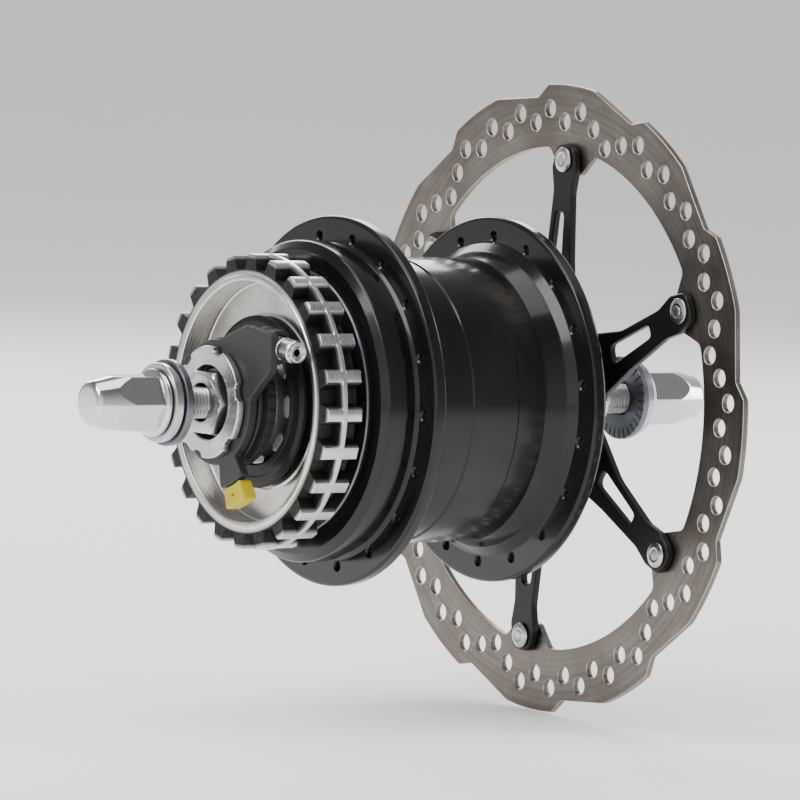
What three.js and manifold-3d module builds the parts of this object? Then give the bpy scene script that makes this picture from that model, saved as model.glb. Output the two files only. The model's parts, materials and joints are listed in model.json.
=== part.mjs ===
// Rear hub gear of a bicycle: epicyclic gear with two suns in a flanged shell, belt sprocket, disc-brake rotor.
// Millimetres. The axle lies along Y with the drive side at -Y; +X points forwards and +Z up.
// The origin is on the axle, midway between the two locknut faces that the frame is clamped against.
// The gear stands in its highest ratio: the large sun is held on the axle.
// The shell then turns 1.4 times for each turn of the sprocket.
import * as THREE from 'three';
import { mergeVertices } from 'three/addons/utils/BufferGeometryUtils.js';
import Module from 'manifold-3d';

const wasm = await Module();
wasm.setup();

// ---------------------------------------------------------------- driving dimensions
const GAP = 0.3;                    // between pieces that touch on the real hub
const OVER_LOCKNUT = 135;           // distance between the faces that the dropouts sit against
const DROPOUT_ROOM = 9.7;           // room for a dropout between each locknut and its non-turn washer
const NUT_END = 104.4;              // outer end of each cap nut, from the middle of the hub
const AXLE_LENGTH = 187;
const AXLE_RADIUS = 5;
const AXLE_HALF_FLAT = 4.25;        // the flats that the non-turn washers grip
const SPINDLE_RADIUS = 6.9;         // thicker stretch of the axle, which carries the large sun
const LOCKNUT_ACROSS_FLATS = 17;
const CAP_NUT_ACROSS_FLATS = 15;

const FLANGE_RADIUS = 52;
const FLANGE_ROOT = 44.5;
const FLANGE_HALF = 2;
const SPOKE_CIRCLE_RADIUS = 46.3;
const SPOKES_PER_FLANGE = 18;
const SPOKE_HOLE_RADIUS = 1.3;
const BARREL_RADIUS = 40;
const RIGHT_FLANGE_Y = -22.6;
const LEFT_FLANGE_Y = 31.8;
const SHELL_BORE = 36.5;

const BELT_TEETH = 24;
const BELT_PITCH = 11;
const BELT_TIP_RADIUS = (BELT_TEETH * BELT_PITCH) / (2 * Math.PI) - 0.8;
const BELT_TOOTH_DEPTH = 4.4;
const SPROCKET = { from: -53, to: -41 };

const ROTOR_RADIUS = 90;
const ROTOR = { from: 52.4, to: 54.2 };
const ROTOR_LOBES = 12;
const ROTOR_LOBE_START = 95;
const ROTOR_ARMS = 6;
const ROTOR_ARM_START = 26;

const GEAR_MODULE = 1;
const PLANETS = 3;
const LARGE_SUN_TEETH = 24;
const SMALL_STEP_TEETH = 18;        // the planets' step on the large sun and the ring gear
const SMALL_SUN_TEETH = 18;
const LARGE_STEP_TEETH = 24;        // the planets' step on the small sun
const RING_TEETH = LARGE_SUN_TEETH + 2 * SMALL_STEP_TEETH;
const PLANET_CIRCLE = (GEAR_MODULE * (LARGE_SUN_TEETH + SMALL_STEP_TEETH)) / 2;
const BACKLASH = 0.2;
const PRESSURE_ANGLE = THREE.MathUtils.degToRad(20);

const LOCKNUT_FACE = OVER_LOCKNUT / 2;
const WASHER_FACE = LOCKNUT_FACE + DROPOUT_ROOM;
const FIRST_PLANET_ANGLE = 90;

// ---------------------------------------------------------------- finishes
const finish = (color, roughness, metalness) => ({ color, roughness, metalness });
const CHROME = finish(0xdcdee0, 0.1, 1);
const BRIGHT_STEEL = finish(0xb9bbbd, 0.25, 1);
const GROUND_STEEL = finish(0x8f9294, 0.35, 1);
const DARK_STEEL = finish(0x55585c, 0.4, 1);
const ROTOR_STEEL = finish(0x7d766f, 0.4, 1);
const BLACK_GLOSS = finish(0x141416, 0.25, 0.2);
const BLACK_SATIN = finish(0x1c1c1e, 0.5, 0.1);
const BLACK_PLASTIC = finish(0x18191b, 0.55, 0);
const BLACK_RUBBER = finish(0x151515, 0.85, 0);
const YELLOW_PLASTIC = finish(0xf0d010, 0.45, 0);

// ---------------------------------------------------------------- shape helpers
const hub = new THREE.Group();

/** Adds one named piece to the hub. */
function piece(name, geometry, look) {
  const mesh = new THREE.Mesh(geometry, new THREE.MeshStandardMaterial(look));
  mesh.name = name;
  hub.add(mesh);
}

const radians = THREE.MathUtils.degToRad;

/** Point of a drawing at a radius and an angle in degrees, counted from +X towards +Z. */
function polar(radius, degrees) {
  return new THREE.Vector2(radius * Math.cos(radians(degrees)), radius * Math.sin(radians(degrees)));
}

/** Solid of revolution about the axle from an outline of [radius, y] points, open only along the axis. */
function turned(outline, segments = 24) {
  const onAxis = outline[0][0] === 0;
  const points = outline.map(([radius, y]) => new THREE.Vector2(radius, y));
  if (THREE.ShapeUtils.isClockWise(points)) points.reverse();
  if (!onAxis) points.push(points[0].clone());
  return new THREE.LatheGeometry(points, segments);
}

/** Plain ring or tube about the axle. */
function tube(innerRadius, outerRadius, from, to, segments = 24) {
  return turned([[innerRadius, from], [outerRadius, from], [outerRadius, to], [innerRadius, to]], segments);
}

/** Plate between two stations of the axle; its outline is seen from the drive side, X right and Z up. */
function slab(shape, from, to) {
  const geometry = new THREE.ExtrudeGeometry(shape, { depth: to - from, bevelEnabled: false });
  geometry.rotateX(Math.PI / 2);
  geometry.translate(0, to, 0);
  return geometry;
}

/** Closed outline through a list of points. */
function outlineOf(points) {
  return new THREE.Shape(points);
}

function circlePoints(radius, count, centre = new THREE.Vector2(), startDegrees = 0) {
  return Array.from({ length: count }, (_, i) => polar(radius, startDegrees + (360 * i) / count).add(centre));
}

function disc(radius, count, centre) {
  return outlineOf(circlePoints(radius, count, centre));
}

/** Ring-shaped stretch between two radii, centred on an angle in degrees. */
function sector(innerRadius, outerRadius, middle, half, steps = 3) {
  const arc = (radius, from, to) =>
    Array.from({ length: steps + 1 }, (_, i) => polar(radius, from + ((to - from) * i) / steps));
  return outlineOf([
    ...arc(outerRadius, middle - half, middle + half),
    ...arc(innerRadius, middle + half, middle - half),
  ]);
}

function hexagon(acrossFlats) {
  return disc(acrossFlats / Math.sqrt(3), 6);
}

/** Round opening with two flats, as a path of points: it fits the flats of the axle. */
function flattedHole(radius, halfFlat, count = 16) {
  const clamp = (point) => new THREE.Vector2(point.x, THREE.MathUtils.clamp(point.y, -halfFlat, halfFlat));
  return new THREE.Path(circlePoints(radius, count).map(clamp));
}

/** Cylinder between two points. */
function rod(start, end, radius, sides = 12) {
  const along = end.clone().sub(start);
  const geometry = new THREE.CylinderGeometry(radius, radius, along.length(), sides);
  const upwards = new THREE.Vector3(0, 1, 0);
  const turn = new THREE.Quaternion().setFromUnitVectors(upwards, along.clone().normalize());
  geometry.applyQuaternion(turn);
  const middle = start.clone().add(end).multiplyScalar(0.5);
  geometry.translate(middle.x, middle.y, middle.z);
  return geometry;
}

/** Manifold solid of a closed geometry: corners shared, triangles without area dropped. */
function solidFrom(geometry) {
  const bare = geometry.clone();
  bare.deleteAttribute('normal');
  bare.deleteAttribute('uv');
  const merged = mergeVertices(bare, 1e-4);
  const corners = merged.index.array;
  const triangles = [];
  for (let i = 0; i < corners.length; i += 3) {
    const [a, b, c] = [corners[i], corners[i + 1], corners[i + 2]];
    if (a !== b && b !== c && c !== a) triangles.push(a, b, c);
  }
  return new wasm.Manifold(new wasm.Mesh({
    numProp: 3,
    vertProperties: merged.attributes.position.array,
    triVerts: new Uint32Array(triangles),
  }));
}

function geometryFrom(solid) {
  const mesh = solid.getMesh();
  const geometry = new THREE.BufferGeometry();
  geometry.setAttribute('position', new THREE.BufferAttribute(mesh.vertProperties, 3));
  geometry.setIndex(new THREE.BufferAttribute(mesh.triVerts, 1));
  geometry.computeVertexNormals();
  return geometry;
}

const joined = (...bodies) => geometryFrom(bodies.map(solidFrom).reduce((a, b) => a.add(b)));
const cut = (body, ...tools) =>
  geometryFrom(tools.map(solidFrom).reduce((a, b) => a.subtract(b), solidFrom(body)));
const shared = (a, b) => geometryFrom(solidFrom(a).intersect(solidFrom(b)));

function shifted(geometry, x, y, z) {
  return geometry.clone().translate(x, y, z);
}

/** Same run of stations on the other side of the hub. */
const mirrored = (from, to) => ({ from: -to, to: -from });

// ---------------------------------------------------------------- gear teeth
/**
 * Points round a spur gear, or round the hole of an internal gear: each flank is the chord of its involute.
 * A tooth, or a tooth space of an internal gear, is centred on `angle`.
 * `slack` thins every tooth at the pitch circle.
 */
function gearPoints(teeth, rootRadius, tipRadius, angle, slack) {
  const pitchRadius = (GEAR_MODULE * teeth) / 2;
  const baseRadius = pitchRadius * Math.cos(PRESSURE_ANGLE);
  const involute = (pressure) => Math.tan(pressure) - pressure;
  const halfAtPitch = Math.PI / (2 * teeth) - slack / (2 * pitchRadius);
  const halfAngle = (radius) => {
    const pressure = Math.acos(Math.min(1, baseRadius / radius));
    return halfAtPitch + involute(PRESSURE_ANGLE) - involute(pressure);
  };
  const radii = [rootRadius, tipRadius];
  const points = [];
  for (let tooth = 0; tooth < teeth; tooth += 1) {
    const middle = radians(angle) + (2 * Math.PI * tooth) / teeth;
    const at = (radius, side) => {
      const a = middle + side * halfAngle(radius);
      return new THREE.Vector2(radius * Math.cos(a), radius * Math.sin(a));
    };
    points.push(...radii.map((radius) => at(radius, -1)));
    points.push(...radii.toReversed().map((radius) => at(radius, 1)));
  }
  return points;
}

function externalGear(teeth, angle) {
  const pitchRadius = (GEAR_MODULE * teeth) / 2;
  return gearPoints(teeth, pitchRadius - 1.25 * GEAR_MODULE, pitchRadius + GEAR_MODULE, angle, BACKLASH / 2);
}

/** Outline of a ratchet: every tooth has a steep face, then a slope that ends at the next one. */
function ratchetPoints(teeth, landRadius, deepRadius, firstAngle, slopeSide) {
  const points = [];
  for (let tooth = 0; tooth < teeth; tooth += 1) {
    const face = firstAngle + (360 * tooth) / teeth;
    const pair = [polar(landRadius, face), polar(deepRadius, face)];
    points.push(...(slopeSide > 0 ? pair : pair.reverse()));
  }
  return points;
}

/** Places a pawl drawn in (forwards along the rim, outwards) coordinates about its pivot. */
function pawlOutline(points, pivotRadius, pivotAngle, pointingSide, lift = 0, scale = 1) {
  const outward = polar(1, pivotAngle);
  const along = polar(1, pivotAngle + pointingSide * 90);
  const place = ([u, v]) => {
    const [cos, sin] = [Math.cos(radians(lift)), Math.sin(radians(lift))];
    const forward = u * cos + v * sin;
    const out = pivotRadius + v * cos - u * sin;
    return outward.clone().multiplyScalar(out).addScaledVector(along, forward).multiplyScalar(scale);
  };
  return outlineOf(points.map(place));
}

// ---------------------------------------------------------------- axle and what is fixed to it
const SPINDLE = { from: -29, to: -1.4 };
const AXLE_CHAMFER = 0.8;
const FLAT_START = 63.5;
const LARGE_SUN = { from: -19.5, to: -2.2 };
const SMALL_SUN = { from: -0.6, to: 14 };

// The large sun's pawl stands up.
// The small sun's is the same shape at the size of the thinner axle, drawn in.
const SUN_PAWL = [[-0.9, 0], [-0.4, -0.8], [0.4, -0.8], [3.9, 0.7], [3.6, 1.6], [-0.3, 0.9]];
const SUN_PAWL_POCKET = [[-1.3, -1.3], [1.6, -1.9], [4.7, -1.3], [4.7, 3.5], [-1.3, 3.5]];
const SUN_PAWL_PIVOT_RADIUS = 5.4;
const SUN_PAWL_RETRACT = 25;
const LARGE_SUN_PAWL = { pivot: 40, from: -15, to: -7, scale: 1 };
const SMALL_SUN_PAWL = { pivot: 220, from: 3, to: 11, scale: AXLE_RADIUS / SPINDLE_RADIUS };
const SUN_RATCHET_TEETH = 12;
const SUN_RATCHET = { land: 7.3, deep: 8.6 };   // at the large sun's size
const SUN_STEEP_FACE_OFFSET = 33.6;   // degrees from the pawl's pivot to the face that it pushes on
const POCKET_END_ROOM = 0.4;

function makeAxle() {
  const end = AXLE_LENGTH / 2;
  const bar = turned([
    [0, -end],
    [AXLE_RADIUS - AXLE_CHAMFER, -end],
    [AXLE_RADIUS, -end + AXLE_CHAMFER],
    [AXLE_RADIUS, SPINDLE.from],
    [SPINDLE_RADIUS, SPINDLE.from],
    [SPINDLE_RADIUS, SPINDLE.to],
    [AXLE_RADIUS, SPINDLE.to],
    [AXLE_RADIUS, end - AXLE_CHAMFER],
    [AXLE_RADIUS - AXLE_CHAMFER, end],
    [0, end],
  ], 16);
  const flatLength = end - FLAT_START;
  const flatDepth = 2;
  const flats = [];
  for (const side of [-1, 1]) {
    for (const face of [-1, 1]) {
      const block = new THREE.BoxGeometry(3 * AXLE_RADIUS, flatLength + 1, flatDepth);
      const y = side * (FLAT_START + (flatLength + 1) / 2);
      flats.push(shifted(block, 0, y, face * (AXLE_HALF_FLAT + flatDepth / 2)));
    }
  }
  const pockets = [LARGE_SUN_PAWL, SMALL_SUN_PAWL].map((pawl) => {
    const outline = pawlOutline(SUN_PAWL_POCKET, SUN_PAWL_PIVOT_RADIUS, pawl.pivot, 1, 0, pawl.scale);
    return slab(outline, pawl.from - POCKET_END_ROOM, pawl.to + POCKET_END_ROOM);
  });
  piece('axle', cut(bar, ...flats, ...pockets), GROUND_STEEL);
}

function makeSunPawls() {
  const raised = pawlOutline(SUN_PAWL, SUN_PAWL_PIVOT_RADIUS, LARGE_SUN_PAWL.pivot, 1);
  const { pivot, scale } = SMALL_SUN_PAWL;
  const lowered = pawlOutline(SUN_PAWL, SUN_PAWL_PIVOT_RADIUS, pivot, 1, SUN_PAWL_RETRACT, scale);
  piece('large_sun_pawl', slab(raised, LARGE_SUN_PAWL.from, LARGE_SUN_PAWL.to), GROUND_STEEL);
  piece('small_sun_pawl', slab(lowered, SMALL_SUN_PAWL.from, SMALL_SUN_PAWL.to), GROUND_STEEL);
}

/** Sun gear with a ratchet in its bore; a gap between its teeth faces the first planet. */
function makeSun(name, teeth, run, pawl) {
  const shape = outlineOf(externalGear(teeth, FIRST_PLANET_ANGLE + 180 / teeth));
  const steepFace = pawl.pivot + SUN_STEEP_FACE_OFFSET;
  const { land, deep } = SUN_RATCHET;
  const ratchet = ratchetPoints(SUN_RATCHET_TEETH, pawl.scale * land, pawl.scale * deep, steepFace, -1);
  shape.holes.push(new THREE.Path(ratchet));
  piece(name, slab(shape, run.from, run.to), GROUND_STEEL);
}

function makeSuns() {
  makeSun('large_sun', LARGE_SUN_TEETH, LARGE_SUN, LARGE_SUN_PAWL);
  makeSun('small_sun', SMALL_SUN_TEETH, SMALL_SUN, SMALL_SUN_PAWL);
}

// Right cone: a tube round the shift sleeve, with a ball track and two windows for the sleeve's lugs.
const RIGHT_CONE = { inner: 6.7, outer: 9.5, from: -62.9, to: -46.9 };
const DRIVER_BALLS = { pitch: 11.95, radius: 2.3, y: -49.6, count: 8 };
const LUG_WINDOW = { from: -57.2, to: -54.1, middle: 54, half: 52 };

function makeRightCone() {
  const shoulder = 11.2;
  const cone = turned([
    [RIGHT_CONE.inner, RIGHT_CONE.from],
    [RIGHT_CONE.outer, RIGHT_CONE.from],
    [RIGHT_CONE.outer, -53.5],
    [shoulder, -53.2],
    [shoulder, -52.6],
    [RIGHT_CONE.outer, -51.6],
    [RIGHT_CONE.outer, RIGHT_CONE.to - 1],
    [RIGHT_CONE.outer - 0.8, RIGHT_CONE.to],
    [RIGHT_CONE.inner, RIGHT_CONE.to],
  ]);
  const windows = [0, 180].map((turn) => {
    const { from, to, middle, half } = LUG_WINDOW;
    return slab(sector(RIGHT_CONE.inner - 1, RIGHT_CONE.outer + 1, middle + turn, half, 5), from, to);
  });
  piece('right_cone', cut(cone, ...windows), GROUND_STEEL);
}

const LEFT_BALLS = { pitch: 11.4, radius: 2.3, y: 46, count: 8 };
const LEFT_SPACER_RADIUS = 10.8;
const LEFT_CONE = { from: 41, to: 52.5 };
const LEFT_LOCKNUT_HEIGHT = 5;

function makeLeftCone() {
  const bore = AXLE_RADIUS + GAP;
  const track = 8.95;
  piece('left_cone', turned([
    [bore, LEFT_CONE.from],
    [track - 0.8, LEFT_CONE.from],
    [track, LEFT_CONE.from + 0.8],
    [track, 48.6],
    [LEFT_SPACER_RADIUS, 50.4],
    [LEFT_SPACER_RADIUS, LEFT_CONE.to],
    [bore, LEFT_CONE.to],
  ]), GROUND_STEEL);
  const locknutInner = LOCKNUT_FACE - LEFT_LOCKNUT_HEIGHT;
  piece('left_spacer', tube(bore, LEFT_SPACER_RADIUS, LEFT_CONE.to + GAP, locknutInner - GAP), BRIGHT_STEEL);
  piece('left_seal', turned([
    [LEFT_SPACER_RADIUS + GAP, 51.4],
    [12.8, 51.4],
    [12.8, 58.2],
    [16, 58.6],
    [16, 60.2],
    [LEFT_SPACER_RADIUS + GAP, 60.2],
  ]), BLACK_RUBBER);
}

/** Hexagonal nut with a round bore and a low collar, turned off at its corners. */
function makeLocknut(name, from, to, outerEnd) {
  const nut = hexagon(LOCKNUT_ACROSS_FLATS);
  const corner = LOCKNUT_ACROSS_FLATS / Math.sqrt(3) + 0.1;
  const chamfer = 0.7;
  const low = outerEnd < 0 ? corner - chamfer : corner;
  const high = outerEnd < 0 ? corner : corner - chamfer;
  const envelope = turned([
    [0, from],
    [low, from],
    [corner, from + chamfer],
    [corner, to - chamfer],
    [high, to],
    [0, to],
  ], 12);
  const body = shared(slab(nut, from, to), envelope);
  piece(name, cut(body, tube(0, AXLE_RADIUS + GAP, from - 1, to + 1, 16)), BRIGHT_STEEL);
}

function makeLocknuts() {
  makeLocknut('right_locknut', -LOCKNUT_FACE, RIGHT_CONE.from - GAP, -1);
  makeLocknut('left_locknut', LOCKNUT_FACE - LEFT_LOCKNUT_HEIGHT, LOCKNUT_FACE, 1);
}

// Left of the gears: the nut that keeps the gear unit on the axle, and the spring that turns the sleeve back.
const STOP_NUT = { from: 36.4, to: 40.4 };
const RETURN_SPRING = { from: 21, to: 28.6, radius: 8.4, wire: 0.55, turns: 3 };

function makeAxleStopNut() {
  const shape = hexagon(LOCKNUT_ACROSS_FLATS);
  shape.holes.push(disc(AXLE_RADIUS + GAP, 16));
  piece('axle_stop_nut', slab(shape, STOP_NUT.from, STOP_NUT.to), GROUND_STEEL);
}

function makeReturnSpring() {
  const stepsPerTurn = 12;
  const steps = RETURN_SPRING.turns * stepsPerTurn;
  const points = Array.from({ length: steps + 1 }, (_, i) => {
    const at = polar(RETURN_SPRING.radius, (360 * i) / stepsPerTurn);
    const y = THREE.MathUtils.lerp(RETURN_SPRING.from, RETURN_SPRING.to, i / steps);
    return new THREE.Vector3(at.x, y, at.y);
  });
  const section = disc(RETURN_SPRING.wire, 5);
  const extrudePath = new THREE.CatmullRomCurve3(points);
  piece('return_spring', new THREE.ExtrudeGeometry(section, { steps, extrudePath }), BRIGHT_STEEL);
}

// ---------------------------------------------------------------- axle-end washers and nuts
const NONTURN = { thickness: 2.2, radius: 12, tabReach: 3, tabInner: 6.6, tabOuter: 10.4, tabHalfWidth: 4 };
const WASHER = { thickness: 2.6, radius: 11 };
const CAP_NUT_FLANGE = { radius: 9.4, height: 1.4 };
const CAP_NUT_HEX_HEIGHT = 11.5;

function makeAxleEnd(side, word) {
  const run = (from, to) => (side > 0 ? { from, to } : mirrored(from, to));
  const plate = run(WASHER_FACE, WASHER_FACE + NONTURN.thickness);
  const shape = disc(NONTURN.radius, 24);
  shape.holes.push(flattedHole(AXLE_RADIUS + GAP, AXLE_HALF_FLAT + GAP));
  const tab = new THREE.BoxGeometry(
    NONTURN.tabOuter - NONTURN.tabInner,
    NONTURN.tabReach + 1,
    2 * NONTURN.tabHalfWidth,
  );
  const tabX = -(NONTURN.tabOuter + NONTURN.tabInner) / 2;
  const tabY = side * (WASHER_FACE + (1 - NONTURN.tabReach) / 2);
  const body = joined(slab(shape, plate.from, plate.to), shifted(tab, tabX, tabY, 0));
  piece(`${word}_nonturn_washer`, body, DARK_STEEL);

  const washerFrom = WASHER_FACE + NONTURN.thickness + GAP;
  const washer = run(washerFrom, washerFrom + WASHER.thickness);
  piece(`${word}_washer`, tube(AXLE_RADIUS + GAP, WASHER.radius, washer.from, washer.to), BRIGHT_STEEL);

  makeCapNut(`${word}_cap_nut`, side, washerFrom + WASHER.thickness + GAP);
}

/** Domed nut: a flange, a hexagon and a taper that ends in a small dome. */
function makeCapNut(name, side, base) {
  const corner = CAP_NUT_ACROSS_FLATS / Math.sqrt(3) + 0.15;
  const taper = [
    [0, base],
    [CAP_NUT_FLANGE.radius, base],
    [CAP_NUT_FLANGE.radius, base + CAP_NUT_FLANGE.height],
    [corner, base + CAP_NUT_FLANGE.height + 0.5],
    [corner, base + CAP_NUT_HEX_HEIGHT],
    [6.9, base + 17],
    [5.9, NUT_END - 1.4],
    [4.4, NUT_END - 0.3],
    [2, NUT_END],
    [0, NUT_END],
  ];
  const run = side > 0 ? { from: base, to: NUT_END } : mirrored(base, NUT_END);
  const envelope = turned(taper.map(([radius, y]) => [radius, side * y]), 12);
  const flangeEnd = base + CAP_NUT_FLANGE.height + 0.2;
  const flange = side > 0 ? { from: base, to: flangeEnd } : mirrored(base, flangeEnd);
  const blank = joined(
    slab(hexagon(CAP_NUT_ACROSS_FLATS), run.from, run.to),
    tube(0, CAP_NUT_FLANGE.radius, flange.from, flange.to, 12),
  );
  const boreEnd = AXLE_LENGTH / 2 + 1;
  const bore = side > 0 ? { from: base - 1, to: boreEnd } : mirrored(base - 1, boreEnd);
  piece(name, cut(shared(blank, envelope), tube(0, AXLE_RADIUS + GAP, bore.from, bore.to, 16)), CHROME);
}

// ---------------------------------------------------------------- hub shell
const RATCHET_RING = { from: -29.9, to: -20.2, outer: 37.5 };
const CUP_SEAT = 38;

function makeHubShell() {
  const flange = (y) => [
    [FLANGE_ROOT, y - FLANGE_HALF],
    [FLANGE_RADIUS, y - FLANGE_HALF],
    [FLANGE_RADIUS, y + FLANGE_HALF],
    [FLANGE_ROOT, y + FLANGE_HALF],
  ];
  const shell = turned([
    [CUP_SEAT, -36.5],
    [42.5, -36.5],
    [45, -35],
    [45, -29],
    [43.5, -28],
    [43.5, -25.4],
    ...flange(RIGHT_FLANGE_Y),
    [41, -17],
    [BARREL_RADIUS, -13],
    [BARREL_RADIUS, 22],
    [41, 26],
    ...flange(LEFT_FLANGE_Y),
    [42, 34.8],
    [39, 37.5],
    [26, 44.5],
    [20.5, 46.2],
    [20.5, 49.6],
    [17.5, 49.6],
    [17.5, 54.4],
    [15.9, 54.4],
    [15.9, 42.5],
    [12.4, 42.5],
    [12.4, 40.8],
    [34, 35.5],
    [SHELL_BORE, 32],
    [SHELL_BORE, RATCHET_RING.to + GAP],
    [CUP_SEAT, RATCHET_RING.to + GAP],
  ]);
  const pitch = 360 / SPOKES_PER_FLANGE;
  const holes = (startAngle) => Array.from({ length: SPOKES_PER_FLANGE }, (_, i) => {
    const centre = polar(SPOKE_CIRCLE_RADIUS, startAngle + i * pitch);
    return disc(SPOKE_HOLE_RADIUS, 5, centre);
  });
  const reach = 3.4;
  piece('hub_shell', cut(
    shell,
    slab(holes(0), RIGHT_FLANGE_Y - reach, RIGHT_FLANGE_Y + reach),
    slab(holes(pitch / 2), LEFT_FLANGE_Y - reach, LEFT_FLANGE_Y + reach),
  ), BLACK_GLOSS);
}

const SHELL_BALLS = { pitch: 24.15, radius: 2.4, y: -33.6, count: 12 };

function makeShellInserts() {
  piece('right_ball_cup', turned([
    [26.9, -36.9],
    [28, -37.4],
    [37.2, -37.4],
    [CUP_SEAT - 0.5, -36.9],
    [CUP_SEAT - 0.5, -30.3],
    [31, -30.3],
    [26.9, -31.2],
  ]), DARK_STEEL);
  piece('left_ball_cup', turned([
    [13.9, 49.4],
    [13.9, 43.4],
    [12.9, 42.9],
    [15.6, 42.9],
    [15.6, 49.4],
  ]), GROUND_STEEL);
}

// Ratchet between the ring gear and the shell: the ring's pawls push the shell forwards and let it overrun.
const CLUTCH_TEETH = 24;
const CLUTCH = { land: 34.4, deep: 36 };
const RING_PAWL = [[-1.1, 0], [-0.6, -0.9], [0.3, -1.1], [6.5, 0.4], [6.2, 2.0], [-0.3, 1.0]];
const RING_PAWL_PIVOT_RADIUS = 32.7;
const RING_PAWL_ANGLES = [40, 220];
const RING_PAWL_RUN = { from: -27.6, to: -21.6 };
const CLUTCH_FACE_OFFSET = 11.4;      // degrees from a pawl's pivot to the steep face that it pushes on

function makeClutch() {
  const shape = disc(RATCHET_RING.outer, 24);
  const steepFace = RING_PAWL_ANGLES[0] - CLUTCH_FACE_OFFSET;
  shape.holes.push(new THREE.Path(ratchetPoints(CLUTCH_TEETH, CLUTCH.land, CLUTCH.deep, steepFace, 1)));
  piece('clutch_ratchet_ring', slab(shape, RATCHET_RING.from, RATCHET_RING.to), GROUND_STEEL);
  RING_PAWL_ANGLES.forEach((angle, i) => {
    const pawl = pawlOutline(RING_PAWL, RING_PAWL_PIVOT_RADIUS, angle, -1);
    piece(`ring_pawl_${i + 1}`, slab(pawl, RING_PAWL_RUN.from, RING_PAWL_RUN.to), GROUND_STEEL);
  });
}

// ---------------------------------------------------------------- ring gear
const RING_GEAR = { outer: 33.8, from: -18.5, to: -2 };
const RING_COLLAR = { inner: 31.5, from: -29, to: -18 };
const PAWL_WINDOW = { before: 3, after: 13.4 };   // degrees of the collar on each side of a pawl's pivot

function makeRingGear() {
  const pitchRadius = (GEAR_MODULE * RING_TEETH) / 2;
  const toothed = disc(RING_GEAR.outer, 24);
  toothed.holes.push(new THREE.Path(gearPoints(
    RING_TEETH,
    pitchRadius - GEAR_MODULE,
    pitchRadius + 1.25 * GEAR_MODULE,
    FIRST_PLANET_ANGLE,
    -BACKLASH / 2,
  )));
  const collar = disc(RING_GEAR.outer, 24);
  collar.holes.push(disc(RING_COLLAR.inner, 36));
  const windows = RING_PAWL_ANGLES.map((angle) => {
    const middle = angle + (PAWL_WINDOW.before - PAWL_WINDOW.after) / 2;
    const half = (PAWL_WINDOW.before + PAWL_WINDOW.after) / 2;
    const shape = sector(RING_COLLAR.inner - 1, RING_GEAR.outer + 1, middle, half, 1);
    return slab(shape, RING_PAWL_RUN.from - GAP, RING_PAWL_RUN.to + GAP);
  });
  const body = joined(
    slab(toothed, RING_GEAR.from, RING_GEAR.to),
    slab(collar, RING_COLLAR.from, RING_COLLAR.to),
  );
  piece('ring_gear', cut(body, ...windows), GROUND_STEEL);
}

// ---------------------------------------------------------------- planet carrier
const CARRIER = {
  radius: 30.8,
  right: { from: -24.9, to: -20.9, bore: 13.6 },
  left: { from: 15, to: 19, bore: 10.5 },
};
const PIN_RADIUS = 3.5;
const PILLAR = { inner: 17, outer: 27.5, half: 18 };
const DRIVE_DOG = { inner: 19, outer: 26, half: 17, depth: 2.2 };
const betweenPlanets = (i) => FIRST_PLANET_ANGLE + (360 * (i + 0.5)) / PLANETS;
const planetAngle = (i) => FIRST_PLANET_ANGLE + (360 * i) / PLANETS;

function makeCarrier() {
  const plate = ({ from, to, bore }) => {
    const shape = disc(CARRIER.radius, 24);
    shape.holes.push(disc(bore, 16));
    for (let i = 0; i < PLANETS; i += 1) {
      shape.holes.push(disc(PIN_RADIUS + GAP, 10, polar(PLANET_CIRCLE, planetAngle(i))));
    }
    return slab(shape, from, to);
  };
  const parts = [plate(CARRIER.right), plate(CARRIER.left)];
  const pockets = [];
  for (let i = 0; i < PLANETS; i += 1) {
    const angle = betweenPlanets(i);
    const pillar = sector(PILLAR.inner, PILLAR.outer, angle, PILLAR.half);
    parts.push(slab(pillar, CARRIER.right.to - 1, CARRIER.left.from + 1));
    const pocket = sector(DRIVE_DOG.inner - GAP, DRIVE_DOG.outer + GAP, angle, DRIVE_DOG.half + 1);
    pockets.push(slab(pocket, CARRIER.right.from - 1, CARRIER.right.from + DRIVE_DOG.depth));
  }
  piece('planet_carrier', cut(joined(...parts), ...pockets), GROUND_STEEL);
}

const SMALL_STEP = { from: -20.3, to: -0.9 };
const LARGE_STEP = { from: -0.9, to: 14.4 };
const PIN = { from: -24.7, to: 20.2 };

function makePlanets() {
  for (let i = 0; i < PLANETS; i += 1) {
    const angle = planetAngle(i);
    const centre = polar(PLANET_CIRCLE, angle);
    const step = (teeth, run) => {
      const shape = outlineOf(externalGear(teeth, angle).map((point) => point.add(centre)));
      return slab(shape, run.from, run.to);
    };
    const blank = joined(step(SMALL_STEP_TEETH, SMALL_STEP), step(LARGE_STEP_TEETH, LARGE_STEP));
    const bore = slab(disc(PIN_RADIUS + 0.35, 12, centre), SMALL_STEP.from - 1, LARGE_STEP.to + 1);
    piece(`planet_${i + 1}`, cut(blank, bore), GROUND_STEEL);
    piece(`planet_pin_${i + 1}`, slab(disc(PIN_RADIUS, 12, centre), PIN.from, PIN.to), BRIGHT_STEEL);
  }
}

// ---------------------------------------------------------------- driver and sprocket
const DRIVER_BORE = 8;
const SPLINE_TEETH = 9;
const SPLINE = { valley: 16, crest: 17.3, from: -49.5, to: -41 };
const DRIVER_END = -52.9;

/** Round outline with flat-topped splines, or the hole that fits it. */
function splinePoints(valley, crest) {
  const pitch = 360 / SPLINE_TEETH;
  const points = [];
  for (let i = 0; i < SPLINE_TEETH; i += 1) {
    const middle = i * pitch;
    points.push(
      polar(valley, middle - 0.3 * pitch),
      polar(crest, middle - 0.2 * pitch),
      polar(crest, middle + 0.2 * pitch),
      polar(valley, middle + 0.3 * pitch),
    );
  }
  return points;
}

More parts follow.
